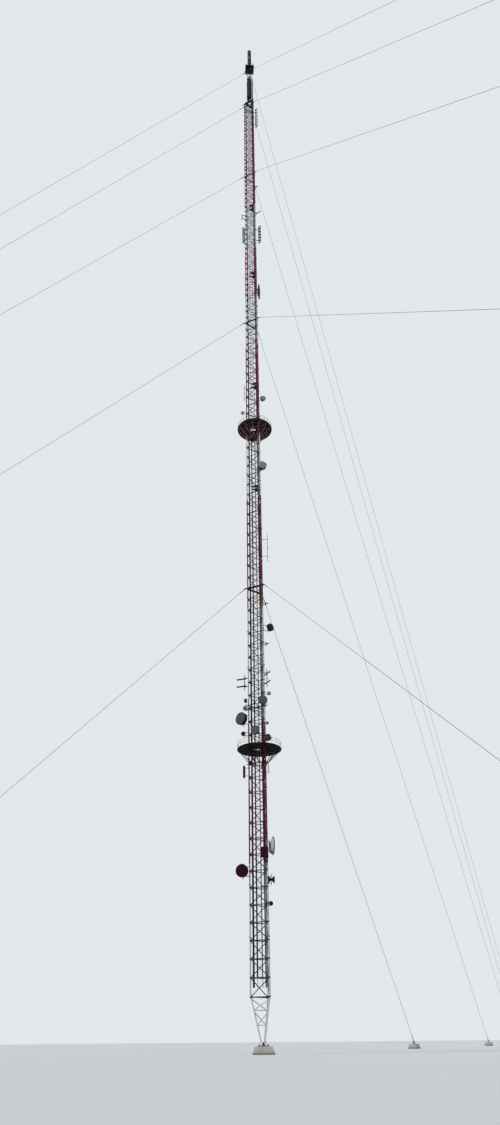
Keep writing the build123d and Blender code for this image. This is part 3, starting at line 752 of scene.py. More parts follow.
def leg_joint():
    """Flange joint of a leg with its bolts, modelled on the axis at the ground."""
    width = sizes().flange_width
    pieces = [bevelled(pillar((0, 0), -JOINT_HALF, JOINT_HALF, (LEG_RADIUS + width) * 2,
                              sizes().leg_sides), 0.0006)]
    for index in range(JOINT_BOLTS):
        spot = polar(LEG_RADIUS + width * 0.55, 360.0 / JOINT_BOLTS * (index + 0.5))
        pieces.append(pillar(spot, -BOLT_HALF, BOLT_HALF, BOLT_WIDTH, 6))
    return join("joint", pieces)


class MAST_OT_legs(bpy.types.Operator):
    """Three round legs with their flange joints, and the bands that the braces bolt to"""
    bl_idname = "mast.legs"
    bl_label = "Legs"

    def execute(self, context):
        settings = sizes()
        for name, azimuth in LEGS.items():
            leg = pillar(polar(LEG_CIRCLE, azimuth), LEG_LOW.z, LEG_HIGH.z, LEG_RADIUS * 2,
                         settings.leg_sides)
            leg = bevelled(settle(leg, f"leg_{name}_tube"), 0.0008)
            dress(leg, "leg_paint", "paint", f"leg_{name}")
        half = settings.band_height / 2
        band = settle(pillar((LEG_CIRCLE, 0), -half, half, LEG_RADIUS * 2 + settings.band_width,
                             settings.leg_sides))
        lifted = [level + settings.flange_lift for level in joint_levels()]
        bands = stacked(band, LEVELS) + stacked(leg_joint(), lifted, LEG_CIRCLE)
        bands = spun(join("band", bands), "leg_bands", LEGS.values())
        dress(bands, "leg_band_paint", "paint")
        return {"FINISHED"}


def model_brace(start, end, diameter):
    """Round brace whose two ends are pressed flat for their bolts."""
    piece = settle(tube(start, end, diameter, 8))
    bpy.ops.object.mode_set(mode="EDIT")
    bpy.ops.mesh.select_mode(type="FACE")
    bpy.ops.mesh.select_all(action="DESELECT")
    bpy.ops.object.mode_set(mode="OBJECT")
    run = (Vector(end) - Vector(start)).normalized()
    for face in piece.data.polygons:
        face.select = abs(face.normal.dot(run)) > 0.9
    bpy.ops.object.mode_set(mode="EDIT")
    bpy.ops.mesh.extrude_faces_move(TRANSFORM_OT_shrink_fatten={"value": diameter * 0.5})
    bpy.ops.transform.resize(value=(0.35, 1.0, 1.0), center_override=(FACE_DISTANCE, 0.0, 0.0))
    bpy.ops.mesh.extrude_faces_move(TRANSFORM_OT_shrink_fatten={"value": diameter * 0.8})
    bpy.ops.object.mode_set(mode="OBJECT")
    return piece


def model_bay(bay, flip, diameter):
    """One bay of the side that faces +X, from its level brace up."""
    settings = sizes()
    half = FACE_WIDTH / 2 - LEG_RADIUS - settings.brace_end
    rise = bay * (half / (FACE_WIDTH / 2))
    low, high = ((bay + rise) / 2, (bay - rise) / 2)
    if not flip:
        low, high = high, low
    pieces = [model_brace((FACE_DISTANCE, -half, 0.0), (FACE_DISTANCE, half, 0.0), diameter),
              model_brace((FACE_DISTANCE, -half, low), (FACE_DISTANCE, half, high), diameter)]
    reach = Vector((0.0034, 0, 0))
    for side in (-1, 1):
        edge = side * (FACE_WIDTH / 2 - LEG_RADIUS - settings.gusset_width / 2 + 0.001)
        pieces.append(block((FACE_DISTANCE, edge, 0.0),
                            (GUSSET_THICKNESS, settings.gusset_width, settings.gusset_height)))
        for lift in (-1, 1):
            spot = Vector((FACE_DISTANCE, edge, lift * settings.gusset_height * 0.28))
            pieces.append(tube(spot - reach, spot + reach, GUSSET_BOLT_WIDTH, 6))
    return join("bay_model", pieces)


class MAST_OT_sides(bpy.types.Operator):
    """Tube bracing of the three flat sides"""
    bl_idname = "mast.sides"
    bl_label = "Lattice sides"

    def execute(self, context):
        settings = sizes()
        for number, foot, bay, bays in SECTIONS:
            upper = number >= UPPER_SECTION
            diameter = settings.upper_brace_diameter if upper else settings.brace_diameter
            runs = []
            for parity in (0, 1):
                run = model_bay(bay, bool(parity), diameter)
                run.data.transform(Matrix.Translation((0, 0, foot + bay * parity)))
                runs.append(repeated(run, (bays + 1 - parity) // 2, (0, 0, bay * 2)))
            panel = join("panel_model", runs)
            for name, azimuth in FACES.items():
                side = copied(panel, f"side_{name}_{number}", turned(azimuth))
                dress(side, "brace_paint_and_shade", "paint", f"lattice_{name}_{number}", angle=FINE_ANGLE)
            bpy.data.objects.remove(panel)
        return {"FINISHED"}


class MAST_OT_plan_braces(bpy.types.Operator):
    """Level ties inside the column at every few bays"""
    bl_idname = "mast.plan_braces"
    bl_label = "Inner ties"

    def execute(self, context):
        near = FACE_DISTANCE - TIE_INSET
        tie = join("tie", [tube(polar(near, azimuth), polar(near, azimuth + 120.0), TIE_WIDTH, 6)
                           for azimuth in FACES.values()])
        ties = join("inner_ties", stacked(tie, joint_levels()))
        dress(ties, "brace_paint_and_shade", "paint", angle=FINE_ANGLE)
        return {"FINISHED"}


# Foot

# Height and radius up the pivot
PIVOT_SHAPE = ((0.0, 0.030), (0.006, 0.030), (0.009, 0.024), (0.018, 0.021), (0.026, 0.013),
               (0.034, 0.012))
PLATE_BOLT_SHARE = 0.8
NUT_WIDTH = 0.012
NUT_RISE = 0.007
STUD_WIDTH = 0.006
STUD_RISE = 0.018


class MAST_OT_foot(bpy.types.Operator):
    """Plinth, base plate, pivot and tapered foot"""
    bl_idname = "mast.foot"
    bl_label = "Foot"

    def execute(self, context):
        rounded("foundation_plinth", "plinth", "cast_concrete", "concrete", 0.006, 3)
        pieces = [from_node("base_plate", "pivot_plate", 0.0015, 2)]
        low, high = box_of("base_plate")
        for x, y in CORNERS + MIDDLES:
            spot = (x * high.x * PLATE_BOLT_SHARE, y * high.y * PLATE_BOLT_SHARE)
            pieces.append(pillar(spot, low.z, high.z + NUT_RISE, NUT_WIDTH, 6))
            pieces.append(pillar(spot, high.z, high.z + STUD_RISE, STUD_WIDTH, 10))
        dress(join("pivot_plate", pieces), "zinc_fittings", "galvanised", "base_plate", angle=0)
        foot = box_of("pivot_bearing")[0].z
        rings = [tube((0, 0, foot + z0), (0, 0, foot + z1), r0 * 2, 40, r1 * 2)
                 for (z0, r0), (z1, r1) in zip(PIVOT_SHAPE, PIVOT_SHAPE[1:])]
        dress(join("pivot", rings), "dark_zinc", "galvanised", "pivot_bearing")
        rounded("base_spire", "foot_spire", "leg_paint", "paint", 0.0008, 1, FINE_ANGLE)
        return {"FINISHED"}


# Guys

ROPE_INSET = 0.05
# Near and far end along the guy, diameter and sides of each socket part, and if it narrows
SOCKET_PARTS = ((0.002, 0.030, 0.0090, 10, False), (0.028, 0.085, 0.0150, 12, False),
                (0.085, 0.128, 0.0150, 12, True))


def rope_ends(level):
    """Upper and lower point of the left guy's rope, turned to +X."""
    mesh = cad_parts[f"guy_ropes_{level}"].data
    line = [v.co for v in mesh.vertices if abs(v.co.y) < 0.02 and v.co.x < 0]
    ends = []
    for extreme in (max, min):
        height = extreme(point.z for point in line)
        near = [point for point in line if abs(point.z - height) < 0.012]
        middle = sum(near, Vector((0, 0, 0))) / len(near)
        ends.append(Vector((-middle.x, 0, middle.z)))
    return ends


def collar_plates(level):
    """Stiffening plates outside the three beams of a guy collar, between the legs."""
    low, high = box_of(f"guy_collar_{level}")
    middle = (low.z + high.z) / 2
    size = (0.010, FACE_WIDTH - LEG_RADIUS * 2 - 0.012, 0.026)
    return [bevelled(block(polar(FACE_DISTANCE + 0.011, azimuth, middle), size, azimuth), 0.002, 2)
            for azimuth in FACES.values()]


class MAST_OT_guys(bpy.types.Operator):
    """Guy ropes with their sockets, and the collars that hold them"""
    bl_idname = "mast.guys"
    bl_label = "Guys"

    def execute(self, context):
        thick = sizes().rope_diameter
        for level in range(1, GUY_LEVELS + 1):
            start, end = rope_ends(level)
            run = (end - start).normalized()
            rope = settle(tube(start + run * ROPE_INSET, end - run * ROPE_INSET, thick, 8))
            rope = spun(rope, f"guy_rope_{level}", LEGS.values())
            dress(rope, "guy_rope", "rope", f"guy_ropes_{level}")
            fittings = []
            for point, way in ((start, run), (end, -run)):
                for near, far, wide, sides, narrows in SOCKET_PARTS:
                    fittings.append(tube(point + way * near, point + way * far, wide, sides,
                                         thick if narrows else None))
            fitting = spun(join("fitting", fittings), f"guy_sockets_{level}", LEGS.values())
            dress(fitting, "dark_zinc", "galvanised")
            collar = from_node(f"guy_collar_{level}", f"guy_ring_{level}", 0.0010, 2)
            collar = join(f"guy_ring_{level}", [collar] + collar_plates(level))
            dress(collar, "collar_steel", "galvanised", f"guy_collar_{level}")
        return {"FINISHED"}


class MAST_OT_anchors(bpy.types.Operator):
    """Concrete anchor blocks with their steel fins"""
    bl_idname = "mast.anchors"
    bl_label = "Ground anchors"

    def execute(self, context):
        for name in ("inner", "middle", "outer"):
            rounded(f"anchor_blocks_{name}", f"anchors_{name}", "cast_concrete", "concrete",
                    0.005, 3)
        rounded("anchor_fins", "anchor_plates", "zinc_fittings", "galvanised", 0.0012, 2)
        return {"FINISHED"}


# Platforms

def platform_struts(number):
    """Raking tubes, deck beams and the ring that they stand on."""
    foot = box_of(f"platform_{number}_struts")[0].z + 0.0055
    deck = box_of(f"platform_{number}_deck")[0].z
    seat = FACE_DISTANCE + LEG_RADIUS + 0.0058
    far = PLATFORM_RADIUS - 0.036
    pieces = []
    for index in range(12):
        azimuth = 30.0 * (index + 0.5)
        near = seat / cos(radians((azimuth + 60.0) % 120.0 - 60.0))
        pieces.append(tube(polar(near, azimuth, foot), polar(far, azimuth, deck - 0.010),
                           0.0130, 12))
        pieces.append(block(polar((near + far) / 2 + 0.002, azimuth, deck - 0.0058),
                            (far - near, 0.0060, 0.0112), azimuth))
    for radius in (0.26, 0.352):
        pieces.append(hoop(radius, (0.0, 0.0, deck - 0.004), 0.006, 48, 6))
    corners = [polar(seat * 2, azimuth, foot) for azimuth in LEGS.values()]
    return join(f"platform_{number}_braces", pieces + chain(corners, 0.0110, 10))


def platform_rails(number):
    """Round rails and posts of a platform."""
    low, high = box_of(f"platform_{number}_railing")
    radius = high.x - RAIL_TUBE * 0.75
    pieces = [hoop(radius, (0.0, 0.0, level), RAIL_TUBE, 72, 8)
              for level in (high.z - RAIL_TUBE / 2, (high.z + low.z) / 2)]
    for index in range(24):
        pieces.append(pillar(polar(radius - 0.001, 15.0 * index), low.z, high.z - 0.002, 0.004, 6))
    return join(f"platform_{number}_rails", pieces)


class MAST_OT_platforms(bpy.types.Operator):
    """Round platforms with rails, decks and raking braces"""
    bl_idname = "mast.platforms"
    bl_label = "Platforms"

    def execute(self, context):
        for number, grade in ((1, ""), (2, "upper_")):
            name = f"platform_{number}"
            rounded(f"{name}_deck", f"{name}_floor", f"{grade}deck_steel", "dark_steel", 0.0006)
            dress(platform_struts(number), f"{grade}strut_steel", "dark_steel", f"{name}_struts",
                  angle=FINE_ANGLE)
            dress(platform_rails(number), "railing_zinc", "dark_steel", f"{name}_railing",
                  angle=FINE_ANGLE)
        rounded("rest_floors", "small_floors", "deck_steel", "dark_steel", 0.0006)
        return {"FINISHED"}


# Top

def slim_side_model():
    """Braces of one side of the slim lattice, facing +X."""
    low, high = box_of("slim_legs")
    bay = (high.z - low.z) / SLIM_BAYS
    out = SLIM_CIRCLE / 2
    half = SLIM_WIDTH / 2 - 0.0045
    pieces = []
    for index in range(SLIM_BAYS):
        start = low.z + index * bay
        left, right = (-half, half) if index % 2 == 0 else (half, -half)
        pieces.append(tube((out, left, start + 0.002), (out, right, start + bay - 0.002),
                           0.0036, 6))
        pieces.append(tube((out, -half, start + 0.002), (out, half, start + 0.002), 0.0030, 6))
    return join("slim_side_model", pieces)


def array_feeds():
    """Power dividers inside the panel array, and its cables along the front slim leg."""
    low, high = box_of("panel_array")
    foot = box_of("slim_legs")[0].z
    tier = (high.z - low.z) / ARRAY_TIERS
    front = LEGS["front"]
    pieces = []
    for index in range(ARRAY_TIERS):
        centre = Vector((0, 0, low.z + tier * (index + 0.5)))
        half = Vector((0, 0, tier * 0.43))
        pieces.append(bevelled(tube(centre - half, centre + half, 0.064, 20), 0.003, 2))
        for azimuth in FACES.values():
            pieces.append(tube(centre, centre + polar(SLIM_CIRCLE * 0.62, azimuth), 0.008, 8))
    for step in (-1.5, -0.5, 0.5, 1.5):
        place = polar(SLIM_CIRCLE + 0.0105, front) + polar(0.0105 * step, 30.0)
        pieces.append(pillar(place, foot, high.z - tier * (1.5 - step) * 0.5, 0.010, 10))
    for index in range(ARRAY_TIERS * 2):
        spot = polar(SLIM_CIRCLE + 0.006, front, foot + tier * (index + 0.5))
        if spot.z < high.z - tier:
            pieces.append(block(spot, (0.022, 0.040, 0.006), front))
    return join("array_feeds", pieces)


class MAST_OT_slim_top(bpy.types.Operator):
    """Neck, slim lattice and its panels"""
    bl_idname = "mast.slim_top"
    bl_label = "Slim lattice"

    def execute(self, context):
        rounded("neck_frame", "neck", "brace_paint_and_shade", "galvanised", 0.0008)
        low, high = box_of("slim_legs")
        legs = join("slim_tubes", [pillar(polar(SLIM_CIRCLE, azimuth), low.z, high.z, 0.009, 12)
                                   for azimuth in LEGS.values()])
        dress(legs, "leg_paint", "paint", "slim_legs")
        sides = spun(slim_side_model(), "slim_braces", FACES.values())
        dress(sides, "brace_paint_and_shade", "paint", "slim_sides", angle=FINE_ANGLE)
        rounded("panel_array", "array_panels", "panel_dark", "panel", 0.002, 2)
        dress(array_feeds(), "cable_jacket", "cable", angle=FINE_ANGLE)
        return {"FINISHED"}


class MAST_OT_crown(bpy.types.Operator):
    """Square platform and the banded cylinder on it"""
    bl_idname = "mast.crown"
    bl_label = "Top platform"

    def execute(self, context):
        rounded("top_platform_deck", "crown_floor", "deck_steel", "dark_steel", 0.0008)
        low, high = box_of("top_platform_railing")
        edge = high.x - RAIL_TUBE / 2
        rails = []
        for level in (low.z + 0.003, (low.z + high.z) / 2, high.z - RAIL_TUBE / 2):
            rails += chain([Vector((x * edge, y * edge, level)) for x, y in CORNERS],
                           RAIL_TUBE, 8)
        for x, y in CORNERS + MIDDLES:
            rails.append(pillar((x * edge, y * edge), low.z, high.z - 0.002, RAIL_TUBE, 8))
        for azimuth in (0.0, 90.0, 180.0, 270.0):
            rails.append(block(polar(edge, azimuth, low.z + 0.008), (0.002, edge * 2, 0.014),
                               azimuth))
        dress(join("crown_rails", rails), "crown_steel", "dark_steel", "top_platform_railing",
              angle=FINE_ANGLE)
        rounded("top_cylinder", "crown_cylinder", "cylinder_bands", "shroud", 0.0008)
        return {"FINISHED"}


# Ladder and feeders

def ladder_lines():
    """Lowest and highest corner of the ladder, its rail's width and the places of its rails."""
    low, high = box_of("ladder")
    rail = high.y - low.y
    left = low.x + rail / 2
    return low, high, rail, left, left + sizes().ladder_width


class MAST_OT_ladder(bpy.types.Operator):
    """Ladder with its rungs and ties"""
    bl_idname = "mast.ladder"
    bl_label = "Ladder"

    def execute(self, context):
        low, high, rail, left, right = ladder_lines()
        pitch = sizes().rung_pitch
        pieces = [pillar((x, 0), low.z, high.z, rail * 0.94, 12) for x in (left, right)]
        rung = settle(tube((left, 0, low.z + pitch), (right, 0, low.z + pitch), 0.0023, 6))
        pieces.append(repeated(rung, int((high.z - low.z) / pitch) - 1, (0, 0, pitch)))
        for level in LEVELS[LADDER_TIE_BAYS::LADDER_TIE_BAYS]:
            pieces.append(tube((left, 0, level), (high.x, 0, level), rail * 0.9, 8))
            pieces.append(block((high.x - 0.001, 0, level), (0.002, 0.020, 0.016)))
        dress(join("ladder_tubes", pieces), "ladder_steel", "galvanised", "ladder",
              angle=FINE_ANGLE)
        return {"FINISHED"}


def ladder_cables():
    """Cables strapped behind the ladder's rails, from the first bay to the upper platform."""
    low, high, rail, left, right = ladder_lines()
    size = 0.0082
    back = rail / 2 + size / 2
    top = box_of("platform_2_deck")[0].z - 0.02
    places = [left + size * (step - 0.2) for step in range(3)]
    places += [right - size * (step - 0.2) for step in range(2)]
    pieces = [pillar((x, back), LEVELS[1], top, size, 10) for x in places]
    for level in LEVELS[2:]:
        if level < top:
            for middle, wide in ((places[1], size * 3.2), (places[3] - size / 2, size * 2.2)):
                pieces.append(block((middle, back, level), (wide, size * 1.25, 0.005)))
    return join("ladder_cables", pieces)


def cable_run(name, offset, width, thickness, places, count):
    """Chosen cables of a bundle on the front left side, with their hangers."""
    low, high = box_of(name)
    inner = FACE_DISTANCE - BRACE_HALF - 0.0003
    pitch = width / count
    pieces = []
    for index in places:
        y = offset - width / 2 + pitch * (index + 0.5)
        x = inner - thickness + pitch / 2 + (index % 2) * 0.0008
        pieces.append(pillar((x, y), low.z, high.z, pitch * 0.96, 12))
    middle = offset + pitch * ((places[0] + places[-1] + 1) / 2) - width / 2
    hanger = bevelled(block((inner - thickness / 2, middle, 0.0),
                            (thickness * 0.96, pitch * len(places) * 0.99, 0.006)), 0.0012)
    piece = join(f"{name}_{places[0] + 1}", pieces + stacked(hanger, LEVELS[1:]))
    piece.data.transform(turned(FACES["front_left"]))
    return piece


# Node, place along the side, width and thickness in mm, and how many of its cables are painted
FEEDERS = (("feeder_bundle_left", -110, 34, 12, 0), ("feeder_bundle_right", 100, 36, 16, 3))


class MAST_OT_feeders(bpy.types.Operator):
    """Feeder cables in their hangers"""
    bl_idname = "mast.feeders"
    bl_label = "Feeders"

    def execute(self, context):
        count = sizes().cable_count
        for name, *measures, painted in FEEDERS:
            measures = [measure * MM for measure in measures]
            black = count - painted
            piece = cable_run(name, *measures, range(black), count)
            dress(piece, "cable_jacket", "cable", name, angle=FINE_ANGLE)
            if painted:
                piece = cable_run(name, *measures, range(black, count), count)
                dress(piece, "trunk_paint", "paint", angle=FINE_ANGLE)
        dress(ladder_cables(), "cable_jacket", "cable", angle=FINE_ANGLE)
        return {"FINISHED"}


class MAST_OT_mount_ring(bpy.types.Operator):
    """Two levels of beams round the column below the upper drums"""
    bl_idname = "mast.mount_ring"
    bl_label = "Mount ring"

    def execute(self, context):
        pieces = [from_node("mount_ring", "mount_beams", 0.0008, 2)]
        low, high = box_of("mount_ring")
        for azimuth in LEGS.values():
            for level in (low.z + BEAM_HALF, high.z - BEAM_HALF):
                pieces.append(leg_clamp(polar(LEG_CIRCLE, azimuth), level, 0.0035))
        dress(join("mount_beams", pieces), "collar_steel", "dark_steel", "mount_ring")
        return {"FINISHED"}


# Antennas

PIPE = 0.008
ARM = 0.0080
ARM_SHARE = 0.6
PIPE_CLAMP = (0.013, 0.014, 0.011)
DRUM_DEPTH = 0.42
DISH_DEPTH = 0.20
ANTENNA_ANGLE = 40.0

# Node, leg, bearing and reach of the arms, height, diameter, bearing it looks along in mm and
# degrees, then the finishes of its shroud and of its front
DRUMS = (
    ("drums_low", "left", 180, 108, 2488, 200, -110, "drum_maroon", "drum_maroon"),
    ("drums_low", "front", 0, 33, 1987, 63, -60, "drum_dark", "drum_dark"),
    ("drums_platform", "front", 0, 28, 4672, 120, -56, "drum_red", "drum_red"),
    ("drums_platform", "left", 180, 87, 4793, 80, -120, "drum_dark", "drum_dark"),
    ("drums_platform", "left", 180, 86, 5063, 225, -137, "drum_dark", "drum_brown"),
    ("drums_platform", "front", 0, 33, 4948, 48, -40, "drum_dark", "drum_dark"),
    ("drums_platform", "left", -150, 62, 5262, 80, -120, "drum_grey", "drum_grey"),
    ("drums_platform", "front", -120, 84, 5337, 158, -85, "drum_dark", "drum_grey"),
    ("drums_high", "front", 0, 106, 6849, 150, -50, "drum_dark", "drum_dark"),
    ("drums_high", "front", -40, 39, 10810, 200, -82, "drum_dark", "drum_pale"),
    ("drums_high", "left", 180, 79, 12575, 85, -140, "drum_grey", "drum_pale"),
    ("drums_high", "front", 0, 91, 12886, 128, -85, "drum_dark", "drum_pale"),
)
RAIL_DRUM = (-10, 4822, 155, -105)
OPEN_DISHES = (("front", 0, 33, 2857, 275, 5), ("front", 0, 83, 5507, 72, -80))
DOMED_DISH = ("front", 0, 25, 16772, 380, -6)
HORNS = ("front", -56, 90, 2328, 118, 100, 0)

# Leg, bearing, reach, height, width, tallness, depth and look, then the finish of the cover
PANELS = (("front", -144, 64, 2744, 132, 170, 26, -90, "panel_red"),
          ("left", 180, 79, 4113, 24, 210, 22, 180, "panel_green"),
          ("left", 180, 49, 5423, 45, 72, 30, -120, "drum_dark"))

# Node, leg, bearing, reach, lower and upper end, elements, their length, the share of it behind
# the pipe, their bearing, thickness, the height of a folded one, and how stout the pipe is
STACKS = (
    ("dipoles_low", "left", 165, 76, 5650, 5940, 2, 190, 0.2, 158, 26, 0, 1.7),
    ("dipoles_low", "front", 0, 56, 5640, 5990, 2, 225, 0.5, -64, 22, 0, 1.7),
    ("dipoles_low", "front", 0, 57, 6480, 6550, 1, 70, 0.2, -20, 18, 0, 1.7),
    ("dipoles_low", "front", 0, 60, 7350, 7420, 1, 70, 0.2, -20, 18, 0, 1.7),
    ("dipoles_low", "front", 0, 123, 8357, 9048, 1, 25, 0.0, 0, 8, 0, 1.0),
    ("dipoles_low", "front", 0, 50, 4035, 4209, 1, 20, 0.0, 0, 8, 0, 1.0),
    ("dipoles_low", "left", 180, 52, 12941, 13503, 3, 20, 0.0, 180, 8, 0, 1.0),
    ("dipoles_high", "left", 180, 30, 19023, 19766, 6, 60, 0.0, -150, 20, 74, 2.4),
    ("dipoles_high", "front", 0, 85, 18821, 19608, 6, 84, 0.0, -50, 20, 84, 2.0),
    ("dipoles_high", "left", 180, 94, 20141, 20412, 1, 20, 0.0, 90, 10, 0, 2.0),
    ("dipoles_high", "front", 0, 50, 20215, 20285, 1, 140, 0.0, -37, 18, 0, 1.8),
    ("dipoles_high", "front", 0, 66, 21560, 21630, 1, 40, 0.0, -45, 9, 0, 1.6),
    ("dipoles_high", "front", 0, 74, 24850, 26034, 6, 78, 0.0, -45, 18, 90, 2.4),
    ("dipoles_high", "left", 180, 30, 26520, 26600, 1, 60, 0.0, 180, 9, 0, 1.6),
)

# Profiles about the line an antenna looks along: share of its depth, then of its width
SHROUD = ((0.0, 0.10), (0.07, 0.34), (0.15, 0.46), (0.20, 0.492), (0.86, 0.492), (0.865, 0.508),
          (0.93, 0.508))
FRONT = ((0.93, 0.500), (0.965, 0.500), (0.968, 0.478), (0.99, 0.40), (1.01, 0.25), (1.018, 0.10))
BOWL = ((0.0, 0.13), (0.14, 0.22), (0.42, 0.34), (0.74, 0.44), (0.97, 0.495), (1.0, 0.503),
        (1.03, 0.500), (1.0, 0.485), (0.76, 0.425), (0.45, 0.325), (0.2, 0.21), (0.12, 0.10))
MOUNT = ((0.02, 0.12), (0.08, 0.20), (0.30, 0.22), (0.36, 0.14))
DOME_BACK = ((0.0, 0.12), (0.02, 0.30), (0.045, 0.485), (0.05, 0.50), (0.10, 0.50))
DOME = ((0.10, 0.495), (0.115, 0.485), (0.14, 0.42), (0.155, 0.33), (0.165, 0.21), (0.17, 0.08))


def carrier(leg, bearing, reach, height, half, stout=1.0):
    """Foot of an upright pipe beside a leg, and the pipe with its arms, leg bands and clamps."""
    centre = polar(LEG_CIRCLE, LEGS[leg])
    foot = centre + polar(reach * MM, bearing)
    pieces = [pillar(foot, (height - half) * MM, (height + half) * MM, PIPE * stout, 12)]
    for level in (height - half * ARM_SHARE, height + half * ARM_SHARE):
        start = centre + polar(LEG_RADIUS, bearing) + upright(level)
        pieces.append(tube(start, foot + upright(level), ARM * stout, 8))
        pieces.append(leg_clamp(centre, level * MM))
        pieces.append(bevelled(block(foot + upright(level), PIPE_CLAMP, bearing), 0.0010))
    return foot, pieces


def placed(foot, height, look, *pieces):
    """Take pieces built along +X to their place beside the mast."""
    matrix = Matrix.Translation(foot + upright(height)) @ turned(look)
    for piece in pieces:
        settle(piece).data.transform(matrix)
    return list(pieces)


def drum(foot, height, look, size, start, shroud, front):
    """Shroud with its flange and slightly domed front of a drum, each with its finish."""
    depth = size * DRUM_DEPTH
    parts = placed(foot, height, look, lathe(SHROUD, 48, depth, size, start),
                   lathe(FRONT, 48, depth, size, start))
    return list(zip((shroud, front), parts))


def drum_antenna(leg, bearing, reach, height, diameter, look, shroud, front):
    """Carrier and covers of one drum beside a leg."""
    foot, pieces = carrier(leg, bearing, reach, height, diameter * 0.6, 1.5)
    size = diameter * MM
    stays = [tube((0, 0, side * size * 0.34), (size * 0.16, 0, side * size * 0.42), 0.004, 6)
             for side in (-1, 1)]
    seat = block((0.006, 0, 0), (0.012, 0.020, 0.034))
    pieces += placed(foot, height, look, *stays, seat)
    return pieces, drum(foot, height, look, size, PIPE, shroud, front)


def rail_drum(along, height, diameter, look):
    """Rails and covers of the drum on the front left side."""
    out = FACE_DISTANCE + LEG_RADIUS + 0.0003
    face = FACES["front_left"]
    size = diameter * MM
    rails = []
    for level in (height - diameter * 0.36, height + diameter * 0.36):
        rails.append(block((out + 0.003, 0, level * MM), (0.0055, FACE_WIDTH + 0.024, 0.0055)))
        for side in (-1, 1):
            rails.append(leg_clamp((out - LEG_RADIUS, side * FACE_WIDTH / 2), level * MM))
    rails.append(pillar((out + 0.006, along * MM), (height - diameter * 0.6) * MM,
                        (height + diameter * 0.6) * MM, PIPE, 12))
    rails = join("rails", rails)
    rails.data.transform(turned(face))
    point = polar(out + 0.006, face) + polar(along * MM, face + 90.0)
    clearance = PIPE + size / 2 * abs(sin(radians(look - face)))
    hub = placed(point, height, look, tube((0, 0, 0), (clearance + 0.006, 0, 0), 0.022, 16))
    return [rails] + hub, drum(point, height, look, size, clearance, "drum_dark", "drum_grey")


def open_dish(leg, bearing, reach, height, diameter, look):
    """Carrier of a dish with its rolled rim, mount, stays and feed, and its bowl."""
    foot, pieces = carrier(leg, bearing, reach, height, diameter * 0.4)
    size = diameter * MM
    depth = size * DISH_DEPTH
    focus = PIPE + depth * 1.25
    feed = [tube((PIPE, 0, 0), (focus, 0, 0), size * 0.045, 16),
            tube((PIPE + depth * 1.22, 0, 0), (PIPE + depth * 1.38, 0, 0), size * 0.10, 20,
                 size * 0.07),
            hoop(size * 0.5, (PIPE + depth, 0, 0), size * 0.052, 56, 8, (0, pi / 2, 0)),
            lathe(MOUNT, 24, depth, size)]
    for side in (-1, 1):
        feed.append(tube((0.004, side * size * 0.10, -size * 0.30),
                         (PIPE + depth * 0.80, side * size * 0.22, -size * 0.40), 0.016, 10))
    for turn in (90.0, 210.0, 330.0):
        edge = Vector((PIPE + depth * 0.96, size * 0.46 * cos(radians(turn)),
                       size * 0.46 * sin(radians(turn))))
        feed.append(tube(edge, (focus, 0, 0), 0.0028, 6))
    feed, dish = placed(foot, height, look, join("feed", feed), lathe(BOWL, 56, depth, size, PIPE))
    return pieces + [feed], [("dish_white", dish)]


def domed_dish(leg, bearing, reach, height, diameter, look):
    """Carrier of a shallow dish, its back and its domed cover."""
    foot, pieces = carrier(leg, bearing, reach, height, diameter * 0.4)
    size = diameter * MM
    back, dome = placed(foot, height, look, lathe(DOME_BACK, 64, size, size, PIPE / 2),
                        lathe(DOME, 64, size, size, PIPE / 2))
    return pieces, [("drum_dark", back), ("dome_red", dome)]


def horn_pair(leg, bearing, reach, height, diameter, span, look):
    """Carrier of two hollow horns back to back, and the horns."""
    foot, pieces = carrier(leg, bearing, reach, height, diameter * 0.7)
    deep = span * MM / 2
    profile = ((0.002, 0.125), (deep * 0.2, 0.20), (deep * 0.96, 0.485), (deep * 0.965, 0.50),
               (deep, 0.50), (deep * 0.99, 0.47), (deep * 0.25, 0.18), (deep * 0.22, 0.05))
    horns = []
    for turn in (0, 180):
        horns += placed(foot, height, look + turn, lathe(profile, 40, 1.0, diameter * MM))
    return pieces, [("drum_dark", join("horns", horns))]


def flat_panel(leg, bearing, reach, height, width, tall, depth, look, finish):
    """Carrier of a flat panel with its tray and brackets, and its cover."""
    foot, pieces = carrier(leg, bearing, reach, height, tall * 0.55)
    size = Vector((depth, width, tall)) * MM
    cover = bevelled(block((PIPE / 2 + size.x / 2, 0, 0), size), min(size.x, size.y) * 0.22, 3)
    tray = bevelled(block((-0.005, 0, 0), (0.018, size.y * 0.7, size.z * 0.9)), 0.003, 2)
    brackets = [block((0.004, 0, side * size.z * 0.36), (0.010, min(size.y * 0.8, 0.03), 0.012))
                for side in (-1, 1)]
    cover, *others = placed(foot, height, look, cover, tray, *brackets)
    return pieces + others, [(finish, cover)]


def dipole_stack(leg, bearing, reach, low, high, count, span, behind, look, thick, tall, stout):
    """Pipe with level elements, folded where they are tall, their clamps and rounded ends."""
    foot, pieces = carrier(leg, bearing, reach, (low + high) / 2, (high - low) / 2, stout)
    thick *= MM
    tip = polar(0.004, look)
    for index in range(count):
        middle = foot + upright(low + (high - low) * (index + 0.5) / count)
        start = middle - polar(span * behind * MM, look)
        end = start + polar(span * MM, look)
        for lift in (-tall / 2, tall / 2) if tall else (0,):
            rise = upright(lift)
            pieces.append(tube(start + rise, end - tip + rise, thick, 12))
            pieces.append(tube(end - tip + rise, end + rise, thick, 12, thick * 0.6))
        if tall:
            pieces.append(tube(end - tip + upright(-tall / 2), end - tip + upright(tall / 2),
                               thick * 0.9, 10))
        pieces.append(block(middle, (0.012 * stout, 0.012 * stout, 0.009), look))
    return pieces, []


